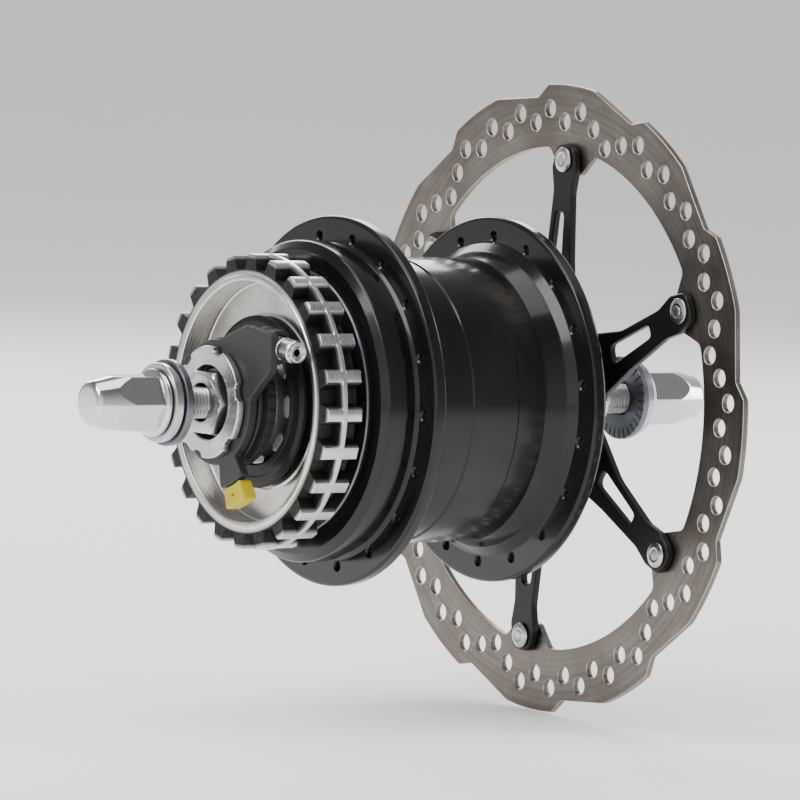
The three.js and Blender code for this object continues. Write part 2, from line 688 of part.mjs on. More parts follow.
function makeDriver() {
  const ballTrack = SHELL_BALLS.pitch - SHELL_BALLS.radius - 0.15;
  const cup = DRIVER_BALLS.pitch + DRIVER_BALLS.radius + 0.15;
  const body = turned([
    [cup, DRIVER_END],
    [SPLINE.valley, DRIVER_END],
    [SPLINE.valley, -40.6],
    [ballTrack, -40],
    [ballTrack, -30.6],
    [27, -28.9],
    [27, -25.8],
    [DRIVER_BORE, -25.8],
    [DRIVER_BORE, -46.2],
    [cup, -46.6],
  ]);
  const dogs = [0, 1, 2].map((i) => {
    const shape = sector(DRIVE_DOG.inner, DRIVE_DOG.outer, betweenPlanets(i), DRIVE_DOG.half);
    return slab(shape, -26.3, CARRIER.right.from + DRIVE_DOG.depth - GAP);
  });
  const splined = outlineOf(splinePoints(SPLINE.valley - 0.1, SPLINE.crest));
  splined.holes.push(disc(cup + 0.7, 24));
  piece('driver', joined(body, slab(splined, SPLINE.from, SPLINE.to), ...dogs), GROUND_STEEL);
}

const SPROCKET_WEB = { from: -45.4, to: -42, rim: 33.6 };
const GUIDE = { from: -47.7, to: -46.3 };
const SNAP_RING = { outer: 19.4, from: -47, to: -45.7, halfSpan: 168 };

function makeBeltSprocket() {
  const rootRadius = BELT_TIP_RADIUS - BELT_TOOTH_DEPTH;
  const pitch = 360 / BELT_TEETH;
  const points = [];
  for (let tooth = 0; tooth < BELT_TEETH; tooth += 1) {
    const middle = tooth * pitch;
    points.push(
      polar(rootRadius, middle - 0.3 * pitch),
      polar(BELT_TIP_RADIUS, middle - 0.16 * pitch),
      polar(BELT_TIP_RADIUS, middle + 0.16 * pitch),
      polar(rootRadius, middle + 0.3 * pitch),
    );
  }
  const rim = outlineOf(points);
  rim.holes.push(disc(SPROCKET_WEB.rim, 24));
  const guide = disc(BELT_TIP_RADIUS, 24);
  guide.holes.push(disc(rootRadius - 1, 24));
  const web = disc(SPROCKET_WEB.rim + 1, 24);
  web.holes.push(new THREE.Path(splinePoints(SPLINE.valley + GAP, SPLINE.crest + GAP)));
  piece('belt_sprocket', joined(
    slab(rim, SPROCKET.from, SPROCKET.to),
    slab(guide, GUIDE.from, GUIDE.to),
    slab(web, SPROCKET_WEB.from, SPROCKET_WEB.to),
  ), BRIGHT_STEEL);
}

function makeSprocketRetainers() {
  const split = sector(SPLINE.crest + GAP, SNAP_RING.outer, 90, SNAP_RING.halfSpan, 20);
  piece('sprocket_snap_ring', slab(split, SNAP_RING.from, SNAP_RING.to), BRIGHT_STEEL);
  piece('driver_dust_cap', turned([
    [SPLINE.crest + GAP, -49.8],
    [22.5, -49.8],
    [24, -49],
    [24, -48.2],
    [SPLINE.crest + GAP, -47.4],
  ]), BLACK_SATIN);
  const behindSprocket = SPROCKET_WEB.to + GAP;
  piece('driver_seal', turned([
    [21.9, behindSprocket],
    [29, behindSprocket],
    [33, -38.6],
    [33, -37.8],
    [28, -37.8],
    [21.9, -39.6],
  ]), BLACK_RUBBER);
}

// ---------------------------------------------------------------- ball retainers
/** Balls held by a thin cage; the two are made as one body. */
function makeBallRetainer(name, balls) {
  const bodies = [tube(
    balls.pitch - 0.9,
    balls.pitch + 0.7,
    balls.y - 0.8,
    balls.y + 0.8,
    balls.count,
  )];
  for (let i = 0; i < balls.count; i += 1) {
    const at = polar(balls.pitch, (360 * i) / balls.count);
    bodies.push(shifted(new THREE.IcosahedronGeometry(balls.radius), at.x, balls.y, at.y));
  }
  piece(name, joined(...bodies), CHROME);
}

function makeBallRetainers() {
  makeBallRetainer('driver_ball_retainer', DRIVER_BALLS);
  makeBallRetainer('shell_ball_retainer', SHELL_BALLS);
  makeBallRetainer('left_ball_retainer', LEFT_BALLS);
}

// ---------------------------------------------------------------- brake rotor
const BAND_INNER = 72;
const VENT_PAIRS = 18;
const VENT_START = 14.4;
const VENT_CIRCLES = [78, 82.6];
const RIVET_CIRCLE = 69;
const RIVET_RADIUS = 2.2;
const RIVET_HEAD = { radius: 3.6, height: 0.9 };
const SPIDER = { from: 49.9, to: 52.1, hubTo: 54.5, bore: 17.8, hubRadius: 26 };
const ARM_SLOT = { inner: 35, innerHalf: 4.6, outer: 54, outerHalf: 2 };
const armAngle = (i) => ROTOR_ARM_START + (360 * i) / ROTOR_ARMS;

/** Rim of the braking band: each lobe has a flat top, then a straight slope that ends in a small step. */
function rotorRim() {
  const pitch = 360 / ROTOR_LOBES;
  const points = [];
  for (let i = 0; i < ROTOR_LOBES; i += 1) {
    const start = ROTOR_LOBE_START - i * pitch;
    points.push(
      polar(ROTOR_RADIUS, start),
      polar(ROTOR_RADIUS, start - 0.42 * pitch),
      polar(ROTOR_RADIUS - 3.8, start - 0.9 * pitch),
    );
  }
  return points;
}

/** Inner edge of the braking band, with an ear at every arm for its rivet. */
function bandInnerEdge() {
  const points = [];
  for (let i = 0; i < ROTOR_ARMS; i += 1) {
    const arm = armAngle(i);
    points.push(
      polar(BAND_INNER, arm - 9),
      polar(RIVET_CIRCLE - 4.5, arm - 4),
      polar(RIVET_CIRCLE - 4.5, arm + 4),
      polar(BAND_INNER, arm + 9),
      polar(BAND_INNER, arm + 23),
      polar(BAND_INNER, arm + 37),
    );
  }
  return points;
}

/** Small vent through the band, its long axis pointing at the axle. */
function ventHole(radius, degrees) {
  const centre = polar(radius, degrees);
  const outward = polar(1, degrees);
  const along = polar(1, degrees + 90);
  const ovalPoint = (_, i) => {
    const at = polar(1, 90 * i);
    return centre.clone().addScaledVector(outward, 2.6 * at.x).addScaledVector(along, 1.9 * at.y);
  };
  return new THREE.Path(Array.from({ length: 4 }, ovalPoint));
}

function makeRotor() {
  const band = outlineOf(rotorRim());
  band.holes.push(new THREE.Path(bandInnerEdge()));
  for (let i = 0; i < VENT_PAIRS; i += 1) {
    const start = VENT_START + (360 * i) / VENT_PAIRS;
    band.holes.push(ventHole(VENT_CIRCLES[0], start));
    band.holes.push(ventHole(VENT_CIRCLES[1], start + 180 / VENT_PAIRS));
  }
  for (let i = 0; i < ROTOR_ARMS; i += 1) {
    band.holes.push(disc(RIVET_RADIUS + GAP, 8, polar(RIVET_CIRCLE, armAngle(i))));
  }
  piece('rotor_band', slab(band, ROTOR.from, ROTOR.to), ROTOR_STEEL);
  makeRotorSpider();
}

/** Tapered slot along the middle of an arm. */
function armSlot(angle) {
  const { inner, innerHalf, outer, outerHalf } = ARM_SLOT;
  return new THREE.Path([
    polar(inner, angle - innerHalf),
    polar(outer, angle - outerHalf),
    polar(outer, angle + outerHalf),
    polar(inner, angle + innerHalf),
  ]);
}

function makeRotorSpider() {
  const arms = [];
  for (let i = 0; i < ROTOR_ARMS; i += 1) {
    const angle = armAngle(i);
    arms.push(
      polar(SPIDER.hubRadius, angle - 22),
      polar(42, angle - 8),
      polar(RIVET_CIRCLE + 1, angle - 4),
      polar(RIVET_CIRCLE + 4.5, angle),
      polar(RIVET_CIRCLE + 1, angle + 4),
      polar(42, angle + 8),
      polar(SPIDER.hubRadius, angle + 22),
    );
  }
  const star = outlineOf(arms);
  star.holes.push(disc(SPIDER.bore, 24));
  for (let i = 0; i < ROTOR_ARMS; i += 1) {
    const centre = polar(RIVET_CIRCLE, armAngle(i));
    star.holes.push(disc(RIVET_RADIUS + GAP, 8, centre));
    star.holes.push(armSlot(armAngle(i)));
    const head = disc(RIVET_HEAD.radius, 8, centre);
    const rivet = joined(
      slab(disc(RIVET_RADIUS, 8, centre), SPIDER.from - 1, ROTOR.to + 1),
      slab(head, SPIDER.from - GAP - RIVET_HEAD.height, SPIDER.from - GAP),
      slab(head, ROTOR.to + GAP, ROTOR.to + GAP + RIVET_HEAD.height),
    );
    piece(`rotor_rivet_${i + 1}`, rivet, BRIGHT_STEEL);
  }
  piece('rotor_spider', joined(
    slab(star, SPIDER.from, SPIDER.to),
    tube(SPIDER.bore, SPIDER.hubRadius - 1, SPIDER.from, SPIDER.hubTo),
  ), BLACK_SATIN);
  piece('rotor_lockring', turned([
    [13.2, 50.2],
    [15.6, 50.2],
    [15.6, 54.8],
    [20.8, 54.8],
    [20.8, 56.6],
    [20, 57.3],
    [13.2, 57.3],
  ]), DARK_STEEL);
}

// ---------------------------------------------------------------- shift mechanism outside the shell
const PULLEY = { bore: 9.8, radius: 18, groove: 15.4, from: -59.8, to: -53.7, cableY: -58 };
const LUG = { from: -56.9, to: -54.4, reach: 11.2, half: 8 };
const SLEEVE = { inner: 5.35, outer: 6.35, from: -60, to: -30.5 };
const CABLE_BOLT = { angle: 205, distance: 22.6, radius: 2.6 };

function makeShiftPulley() {
  const wheel = turned([
    [PULLEY.bore, PULLEY.from],
    [PULLEY.radius, PULLEY.from],
    [PULLEY.radius, PULLEY.from + 0.6],
    [PULLEY.groove, PULLEY.cableY - 0.6],
    [PULLEY.groove, PULLEY.cableY + 0.6],
    [PULLEY.radius, PULLEY.cableY + 1.4],
    [PULLEY.radius, PULLEY.to - 0.6],
    [PULLEY.radius - 0.6, PULLEY.to],
    [PULLEY.bore, PULLEY.to],
  ]);
  const earShape = sector(PULLEY.groove, CABLE_BOLT.distance + 4, CABLE_BOLT.angle, 11);
  earShape.holes.push(disc(CABLE_BOLT.radius + GAP, 10, polar(CABLE_BOLT.distance, CABLE_BOLT.angle)));
  const ear = slab(earShape, PULLEY.cableY + 0.9, PULLEY.to - 0.4);
  const notches = [90, 270].map((angle) => {
    const shape = sector(PULLEY.bore - 1, LUG.reach + GAP, angle, LUG.half + 2);
    return slab(shape, LUG.from - GAP, PULLEY.to + 1);
  });
  piece('shift_pulley', cut(joined(wheel, ear), ...notches), BLACK_PLASTIC);

  const at = polar(CABLE_BOLT.distance, CABLE_BOLT.angle);
  piece('cable_fixing_bolt', joined(
    slab(disc(CABLE_BOLT.radius, 10, at), PULLEY.cableY - 1.4, PULLEY.to + 0.6),
    slab(disc(4.2, 6, at), PULLEY.cableY - 1.6, PULLEY.cableY + 0.6),
  ), BRIGHT_STEEL);
}

function makeShiftSleeve() {
  const lugs = [90, 270].map((angle) => {
    const shape = sector(SLEEVE.outer - 0.5, LUG.reach, angle, LUG.half);
    return slab(shape, LUG.from, LUG.to);
  });
  const body = tube(SLEEVE.inner, SLEEVE.outer, SLEEVE.from, SLEEVE.to);
  piece('shift_sleeve', joined(body, ...lugs), GROUND_STEEL);
}

const BRACKET = { from: -62.9, to: -60.1, bore: 9.9, radius: 17.5 };
const FERRULE = {
  start: new THREE.Vector3(13, PULLEY.cableY, 17.9),
  end: new THREE.Vector3(33.2, PULLEY.cableY, 16.4),
  radius: 3.2,
};
const HOLDER = { radius: 4.9, startShare: 0.12, endShare: 0.55 };
const MARK = { angle: -65, inner: 24.3, outer: 30.2, half: 9.5, raised: 1.5 };
const FIXING_RING = { inner: 10.3, outer: 15.6, from: -65.4, to: -63.2, grips: 6 };

/** Fixed half of the cable housing: a ring on the cone, an arm for the ferrule and a lug for the mark. */
function makeCassetteBracket() {
  const ring = disc(BRACKET.radius, 24);
  ring.holes.push(disc(BRACKET.bore, 16));
  const lug = sector(BRACKET.radius - 1, 24, MARK.angle, MARK.half + 4);
  const arm = outlineOf([
    polar(BRACKET.radius - 1, 8),
    new THREE.Vector2(26.5, 11),
    new THREE.Vector2(26.5, 21),
    new THREE.Vector2(14, 22.6),
    polar(BRACKET.radius - 1, 92),
    polar(BRACKET.radius - 3, 50),
  ]);
  const along = (share) => FERRULE.start.clone().lerp(FERRULE.end, share);
  const holder = rod(along(HOLDER.startShare), along(HOLDER.endShare), HOLDER.radius, 12);
  const pastEnds = rod(along(-1), along(2), FERRULE.radius + GAP, 12);
  const body = joined(...[ring, lug, arm].map((shape) => slab(shape, BRACKET.from, BRACKET.to)), holder);
  piece('cassette_bracket', cut(body, pastEnds), BLACK_PLASTIC);

  const cable = rod(along(-1), along(2), 1, 8);
  piece('cable_ferrule', cut(rod(FERRULE.start, FERRULE.end, FERRULE.radius, 12), cable), BRIGHT_STEEL);

  const mark = sector(MARK.inner, MARK.outer, MARK.angle, MARK.half);
  piece('setting_mark', slab(mark, BRACKET.from, BRACKET.to + MARK.raised), YELLOW_PLASTIC);
}

/** Ring that holds the cable housing on the cone, with notches to grip it by. */
function makeFixingRing() {
  const { inner, outer, from, to, grips } = FIXING_RING;
  const shape = disc(outer, 24);
  shape.holes.push(disc(inner, 16));
  const notches = Array.from({ length: grips }, (_, i) => {
    const angle = (360 * (i + 0.25)) / grips;
    return slab(sector(outer - 1.4, outer + 1.4, angle, 8, 1), from, to);
  });
  piece('bracket_fixing_ring', cut(slab(shape, from, to), ...notches), BRIGHT_STEEL);
}

// ---------------------------------------------------------------- assembly
makeAxle();
makeSunPawls();
makeSuns();
makeRightCone();
makeLeftCone();
makeLocknuts();
makeAxleStopNut();
makeReturnSpring();
makeAxleEnd(-1, 'right');
makeAxleEnd(1, 'left');
makeHubShell();
makeShellInserts();
makeClutch();
makeRingGear();
makeCarrier();
makePlanets();
makeDriver();
makeBeltSprocket();
makeSprocketRetainers();
makeBallRetainers();
makeRotor();
makeShiftPulley();
makeShiftSleeve();
makeCassetteBracket();
makeFixingRing();

export default hub;
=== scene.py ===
import json
import math
from itertools import product

import bmesh
import bpy
from mathutils import Matrix, Vector
from mathutils.geometry import tessellate_polygon


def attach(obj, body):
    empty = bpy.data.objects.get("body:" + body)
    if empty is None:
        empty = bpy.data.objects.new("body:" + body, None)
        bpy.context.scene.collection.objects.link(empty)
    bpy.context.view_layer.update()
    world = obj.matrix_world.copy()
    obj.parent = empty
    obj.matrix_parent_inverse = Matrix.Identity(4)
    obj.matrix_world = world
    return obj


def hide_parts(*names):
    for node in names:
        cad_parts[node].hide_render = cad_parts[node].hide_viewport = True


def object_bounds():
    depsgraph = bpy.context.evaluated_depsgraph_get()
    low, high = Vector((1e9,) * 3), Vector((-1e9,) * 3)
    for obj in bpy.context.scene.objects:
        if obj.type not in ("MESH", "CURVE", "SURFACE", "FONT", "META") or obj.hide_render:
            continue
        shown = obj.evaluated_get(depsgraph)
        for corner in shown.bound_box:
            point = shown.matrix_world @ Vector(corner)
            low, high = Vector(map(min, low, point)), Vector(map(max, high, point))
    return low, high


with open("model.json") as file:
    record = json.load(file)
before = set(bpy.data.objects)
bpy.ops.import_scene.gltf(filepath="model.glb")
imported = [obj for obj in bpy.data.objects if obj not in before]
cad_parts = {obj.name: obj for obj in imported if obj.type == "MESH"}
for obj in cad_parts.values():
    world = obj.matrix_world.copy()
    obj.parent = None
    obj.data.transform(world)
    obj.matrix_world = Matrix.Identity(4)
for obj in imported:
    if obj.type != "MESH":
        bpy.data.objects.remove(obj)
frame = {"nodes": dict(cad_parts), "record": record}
cad_low, cad_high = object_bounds()
record = frame["record"]
BODY_OF = {node: body for body, nodes in record["behaviour"]["bodies"].items() for node in nodes}
SLOT_OF = {part["node"]: part["material_slot"] for part in record["subparts"]}

MM = 0.001
TURNS = 144              # flats round a turned piece
SHARP = math.radians(32)
BELT_TEETH = 24
BELT_PITCH = 11
BELT_TIP = BELT_TEETH * BELT_PITCH / (2 * math.pi) - 0.8
BELT_ROOT = BELT_TIP - 4.4


# ---- outlines
def polar(radius, degrees):
    angle = math.radians(degrees)
    return Vector((radius * math.cos(angle), radius * math.sin(angle)))


def arc(radius, start, end, steps=24, centre=(0, 0)):
    """Points of an arc between two angles."""
    middle = Vector(centre)
    return [middle + polar(radius, start + (end - start) * i / steps) for i in range(steps + 1)]


def around(count, start=0):
    """Evenly spaced angles of a full turn."""
    return [start + 360 * i / count for i in range(count)]


def circle(radius, count=48, centre=(0, 0)):
    return [Vector(centre) + polar(radius, angle) for angle in around(count)]


def at(radius, degrees, fillet):
    """Corner for rounded(), by its radius and angle."""
    return (*polar(radius, degrees), fillet)


def as_drawn(points):
    """Corners that rounded() leaves as they are."""
    return [(*point, 0) for point in points]


def rounded(corners, fillet=0.3, steps=4):
    """Closed outline with its corners eased into arcs; a corner's third value is its own radius."""
    outline = []
    count = len(corners)
    for i, corner in enumerate(corners):
        here = Vector(corner[:2])
        radius = corner[2] if len(corner) > 2 else fillet
        before = Vector(corners[i - 1][:2]) - here
        after = Vector(corners[(i + 1) % count][:2]) - here
        bend = before.angle(after, math.pi)
        if radius == 0 or bend > math.radians(172):
            outline.append(here)
            continue
        reach = min(radius / math.tan(bend / 2), 0.48 * before.length, 0.48 * after.length)
        start = here + before.normalized() * reach
        end = here + after.normalized() * reach
        for k in range(steps + 1):
            t = k / steps
            outline.append(start * (1 - t) ** 2 + here * 2 * t * (1 - t) + end * t * t)
    return outline


def sector(inner, outer, middle, half, fillet=0.5):
    """Ring-shaped stretch between two radii, centred on an angle."""
    steps = max(2, round(half / 1.5))
    low, high = middle - half, middle + half
    return rounded(arc(outer, low, high, steps) + arc(inner, high, low, steps), fillet)


def splined(valley, crest, teeth, fillet=0.35):
    """Round outline with flat-topped splines."""
    pitch = 360 / teeth
    points = []
    for middle in around(teeth):
        points += arc(crest, middle - 0.2 * pitch, middle + 0.2 * pitch, 4)
        points += arc(valley, middle + 0.3 * pitch, middle + 0.7 * pitch, 4)
    return rounded(points, fillet)


def hexagonal(across_flats, beyond, start=0):
    """Limit that gives a turned piece six flats, beyond a radius and a station; a corner is at angle 0."""
    def limit(radius, y, degrees):
        if radius > beyond and abs(y) > start:
            return min(radius, across_flats / 2 / math.cos(math.radians(degrees % 60 - 30)))
        return radius

    return limit


# ---- solids
def skin(solid, near, far):
    """Faces between two closed rings of points; points that coincide give triangles."""
    for i in range(len(near)):
        corners = dict.fromkeys([near[i - 1], near[i], far[i], far[i - 1]])
        if len(corners) > 2:
            solid.faces.new(corners)


def revolve(profile, limit=None, turns=TURNS, extra=()):
    """Solid of revolution about the axle from a closed profile of (radius, y).

    limit(radius, y, degrees) gives the radius that is left at that angle, for flats, teeth and threads.
    """
    angles = sorted({*around(turns), *extra})
    solid = bmesh.new()
    rings = []
    for radius, y in profile:
        if radius < 1e-6:
            rings.append([solid.verts.new((0, y * MM, 0))] * len(angles))
            continue
        ring = []
        for angle in angles:
            x, z = polar(limit(radius, y, angle) if limit else radius, angle)
            ring.append(solid.verts.new((x * MM, y * MM, z * MM)))
        rings.append(ring)
    for near, far in zip(rings, rings[1:] + rings[:1]):
        skin(solid, near, far)
    bmesh.ops.recalc_face_normals(solid, faces=solid.faces)
    return solid


def turned(corners, fillet=0.3, steps=4, **options):
    """Turned piece with eased edges."""
    return revolve(rounded(corners, fillet, steps), **options)


def cylinder(radius, low, high, turns):
    return revolve([(0, low), (radius, low), (radius, high), (0, high)], turns=turns)


def tube(inner, outer, low, high, fillet=0.25):
    return turned([(inner, low), (outer, low), (outer, high), (inner, high)], fillet)


def wound(loop, left_handed):
    """Loop that runs with the material on its left: outlines one way round, holes the other."""
    area = sum(a.x * b.y - b.x * a.y for a, b in zip(loop, loop[1:] + loop[:1]))
    return loop if (area > 0) == left_handed else loop[::-1]


def inset(loop, distance):
    """Loop moved into the material, with mitred corners."""
    moved = []
    count = len(loop)
    for i, here in enumerate(loop):
        before = (here - loop[i - 1]).normalized()
        after = (loop[(i + 1) % count] - here).normalized()
        left_before = Vector((-before.y, before.x))
        left_after = Vector((-after.y, after.x))
        share = max(0.5, 1 + left_before.dot(left_after))
        moved.append(here + (left_before + left_after) * (distance / share))
    return moved


def plate(outline, holes, low, high, edge=0.25, steps=3):
    """Flat plate between two stations of the axle, with rounded edges all along its outline and holes."""
    loops = [wound([Vector(p) for p in outline], True)]
    loops += [wound([Vector(p) for p in hole], False) for hole in holes]
    quarter = [math.radians(90 * k / steps) for k in range(steps + 1)]
    levels = [(low + edge * (1 - math.cos(a)), edge * (1 - math.sin(a))) for a in quarter]
    levels += [(high + low - y, depth) for y, depth in reversed(levels)]
    solid = bmesh.new()
    rings = []
    for y, depth in levels:
        moved = [inset(loop, depth) for loop in loops]
        rings.append([[solid.verts.new((p.x * MM, y * MM, p.y * MM)) for p in loop] for loop in moved])
    for near, far in zip(rings, rings[1:]):
        for first, second in zip(near, far):
            skin(solid, first, second)
    flat = [[Vector((p.x, p.y, 0)) for p in inset(loop, edge)] for loop in loops]
    triangles = tessellate_polygon(flat)
    for ring in (rings[0], rings[-1]):
        corners = [vert for loop in ring for vert in loop]
        for triangle in triangles:
            solid.faces.new([corners[k] for k in triangle])
    bmesh.ops.recalc_face_normals(solid, faces=solid.faces)
    flat_faces = {f for f in solid.faces if abs(f.normal.y) > 0.9999}
    for line in solid.edges:
        if len([f for f in line.link_faces if f in flat_faces]) == 1:
            line.smooth = False
    return solid


def disc(outer, inner, low, high, edge, turns=180):
    """Flat ring."""
    return plate(circle(outer, turns), [circle(inner, round(turns * 0.8))], low, high, edge)


def blocks(angles, inner, outer, half, fillet, low, high, edge, steps=3):
    """Ring-shaped blocks, one at each angle, between two radii and two stations."""
    outlines = [sector(inner, outer, angle, half, fillet) for angle in angles]
    return [plate(outline, [], low, high, edge, steps) for outline in outlines]


def as_object(solid, name):
    mesh = bpy.data.meshes.new(name)
    solid.to_mesh(mesh)
    solid.free()
    made = bpy.data.objects.new(name, mesh)
    bpy.context.scene.collection.objects.link(made)
    return made


def combined(operation, base, *tools):
    """Boolean of a solid with other solids."""
    body = as_object(base, "boolean_base")
    others = [as_object(tool, "boolean_tool") for tool in tools]
    for other in others:
        step = body.modifiers.new("step", "BOOLEAN")
        step.operation = operation
        step.solver = "MANIFOLD"
        step.object = other
    view = bpy.context.evaluated_depsgraph_get()
    mesh = bpy.data.meshes.new_from_object(body.evaluated_get(view))
    solid = bmesh.new()
    solid.from_mesh(mesh)
    for made in [body, *others]:
        bpy.data.objects.remove(made)
    return solid


def joined(base, *tools):
    return combined("UNION", base, *tools)


def cut(base, *tools):
    return combined("DIFFERENCE", base, *tools)


def gathered(solids):
    """Several separate solids in one mesh."""
    whole = bmesh.new()
    for solid in solids:
        mesh = bpy.data.meshes.new("part")
        solid.to_mesh(mesh)
        solid.free()
        whole.from_mesh(mesh)
        bpy.data.meshes.remove(mesh)
    return whole


def aimed(solid, start, end):
    """Moves a solid that was turned about the axle so that it runs from start towards end."""
    along = (Vector(end) - Vector(start)).normalized()
    turn = Vector((0, 1, 0)).rotation_difference(along).to_matrix().to_4x4()
    solid.transform(Matrix.Translation(Vector(start) * MM) @ turn)
    return solid


def shifted(solid, x, y, z):
    solid.transform(Matrix.Translation(Vector((x, y, z)) * MM))
    return solid


# ---- finishes
SHADE_TINT = (0.03, 0.027, 0.023)     # colour of the painted shade in the corners of steel pieces


class NodeTree:
    """Short names for shader nodes."""

    def __init__(self, tree):
        self.tree = tree

    def node(self, kind, inputs=None, **settings):
        made = self.tree.nodes.new(kind)
        for key, value in settings.items():
            setattr(made, key, value)
        for socket, value in (inputs or {}).items():
            if isinstance(value, bpy.types.NodeSocket):
                self.tree.links.new(value, made.inputs[socket])
            else:
                made.inputs[socket].default_value = value
        return made

    def vector(self, operation, a, b):
        return self.node("ShaderNodeVectorMath", {0: a, 1: b}, operation=operation).outputs[0]

    def math(self, operation, a, b=0.0):
        return self.node("ShaderNodeMath", {0: a, 1: b}, operation=operation).outputs[0]

    def plus(self, a, b):
        return self.math("ADD", a, b)

    def times(self, a, b):
        return self.math("MULTIPLY", a, b)

    def blended(self, a, b, share):
        """Average of two values, with this share of the first one."""
        return self.plus(self.times(a, share), self.times(b, 1 - share))

    def spread(self, value, low=0.0, high=1.0, start=0.35, end=0.65):
        """Maps start..end of a value to low..high."""
        inputs = {0: value, 1: start, 2: end, 3: low, 4: high}
        return self.node("ShaderNodeMapRange", inputs).outputs[0]

    def mix(self, share, a, b):
        made = self.node("ShaderNodeMix", data_type="RGBA")
        for index, value in ((0, share), (6, a), (7, b)):
            if isinstance(value, bpy.types.NodeSocket):
                self.tree.links.new(value, made.inputs[index])
            else:
                made.inputs[index].default_value = (*value, 1) if isinstance(value, tuple) else value
        return made.outputs[2]


class Finish(NodeTree):
    """One material. Lengths in its textures are millimetres."""

    def __init__(self, name, **values):
        self.material = bpy.data.materials.new(name)
        self.material.use_nodes = True
        super().__init__(self.material.node_tree)
        self.shader = self.tree.nodes["Principled BSDF"]
        self.set(**values)
        place = self.node("ShaderNodeTexCoord").outputs["Object"]
        self.place = self.vector("MULTIPLY", place, (1000, 1000, 1000))
        parts = self.node("ShaderNodeSeparateXYZ", {0: self.place}).outputs
        flat = self.node("ShaderNodeCombineXYZ", {0: parts[0], 2: parts[2]}).outputs[0]
        self.radius = self.node("ShaderNodeVectorMath", {0: flat}, operation="LENGTH").outputs["Value"]
        self.station = parts[1]
        self.turned = self.node("ShaderNodeCombineXYZ", {0: self.radius, 1: self.station}).outputs[0]

    def set(self, **values):
        """Sets or links sockets of the shader; underscores stand for spaces."""
        for key, value in values.items():
            socket = self.shader.inputs[key.replace("_", " ")]
            if isinstance(value, bpy.types.NodeSocket):
                self.tree.links.new(value, socket)
            elif isinstance(value, tuple):
                socket.default_value = (*value, 1)
            else:
                socket.default_value = value

    def tone(self, base, *layers):
        """Colour of the surface: a base under layers of (share, colour)."""
        for share, colour in layers:
            base = self.mix(share, base, colour)
        self.set(Base_Color=base)

    def noise(self, scale, place=None, detail=4.0, rough=0.55):
        """Noise from 0 to 1 with `scale` waves in a millimetre."""
        inputs = {"Vector": place or self.place, "Scale": scale, "Detail": detail, "Roughness": rough}
        return self.node("ShaderNodeTexNoise", inputs).outputs[0]

    def crevice(self, share, distance=3.0):
        """`share` in narrow gaps and inner corners, 0 on open surfaces."""
        seen = self.node("ShaderNodeAmbientOcclusion", {"Distance": distance * MM}, samples=4).outputs["AO"]
        return self.times(self.spread(seen, 1.0, 0.0, 0.25, 0.85), share)

    def worn_edges(self):
        """1 on the rounded edges between surfaces that face along the axle and away from it."""
        normal = self.node("ShaderNodeNewGeometry").outputs["Normal"]
        along = self.node("ShaderNodeSeparateXYZ", {0: normal}).outputs[1]
        doubled = self.times(self.times(along, along), 2.0)
        away_from_45 = self.math("ABSOLUTE", self.math("SUBTRACT", doubled, 1.0))
        return self.spread(away_from_45, 1.0, 0.0, 0.3, 0.8)

    def bump(self, *layers):
        """Adds (height, depth in millimetres) layers to the shader's normal."""
        normal = None
        for height, depth in layers:
            inputs = {"Height": height, "Strength": 1.0, "Distance": depth * MM}
            if normal:
                inputs["Normal"] = normal
            normal = self.node("ShaderNodeBump", inputs).outputs[0]
        self.set(Normal=normal)


def steel(name, pale, dull, smooth, coarse, ring_depth, shade_share=0.5):
    """Turned or ground steel: fine rings round the axle, clouded polish, painted shade in the corners, which
    are also made rougher.
    """
    look = Finish(name, Metallic=1.0)
    cloud = look.noise(0.09, detail=5.0)
    rings = look.noise(2.6, look.turned, detail=3.0, rough=0.7)
    fine_rings = look.noise(9.0, look.turned, detail=2.0)
    scratches = look.noise(0.8, look.vector("MULTIPLY", look.place, (1.0, 9.0, 1.0)), detail=3.0)
    # painted shade: the corners that ambient occlusion finds are darkened to the shade tint and made rougher
    crevice_shade = look.crevice(shade_share)
    look.tone(pale, (look.spread(cloud), dull), (look.spread(rings, 0.0, 0.35), dull), (crevice_shade, SHADE_TINT))
    polish = look.spread(look.blended(rings, cloud, 0.6), smooth, coarse)
    worn = look.spread(scratches, 0.0, 0.08, 0.55, 0.75)
    look.set(Roughness=look.plus(look.plus(polish, worn), look.times(crevice_shade, 0.3)))
    look.bump((rings, ring_depth), (fine_rings, 0.35 * ring_depth))
    return look.material


def chrome():
    """Bright plate with a faint orange peel, water marks, and painted shade in its corners, which are also
    made rougher.
    """
    look = Finish("chrome_plate", Metallic=1.0)
    peel = look.noise(1.1, detail=2.0)
    marks = look.noise(0.35, detail=6.0, rough=0.7)
    # painted shade: darker and rougher in the corners that ambient occlusion finds
    tint_share = look.crevice(0.45, 2.0)
    spots = look.spread(marks, 0.0, 0.2, 0.56, 0.7)
    look.tone((0.72, 0.74, 0.77), (spots, (0.48, 0.47, 0.46)), (tint_share, (0.06, 0.055, 0.05)))
    look.set(Roughness=look.plus(look.spread(marks, 0.05, 0.14), look.times(tint_share, 0.5)))
    look.bump((peel, 0.004))
    return look.material


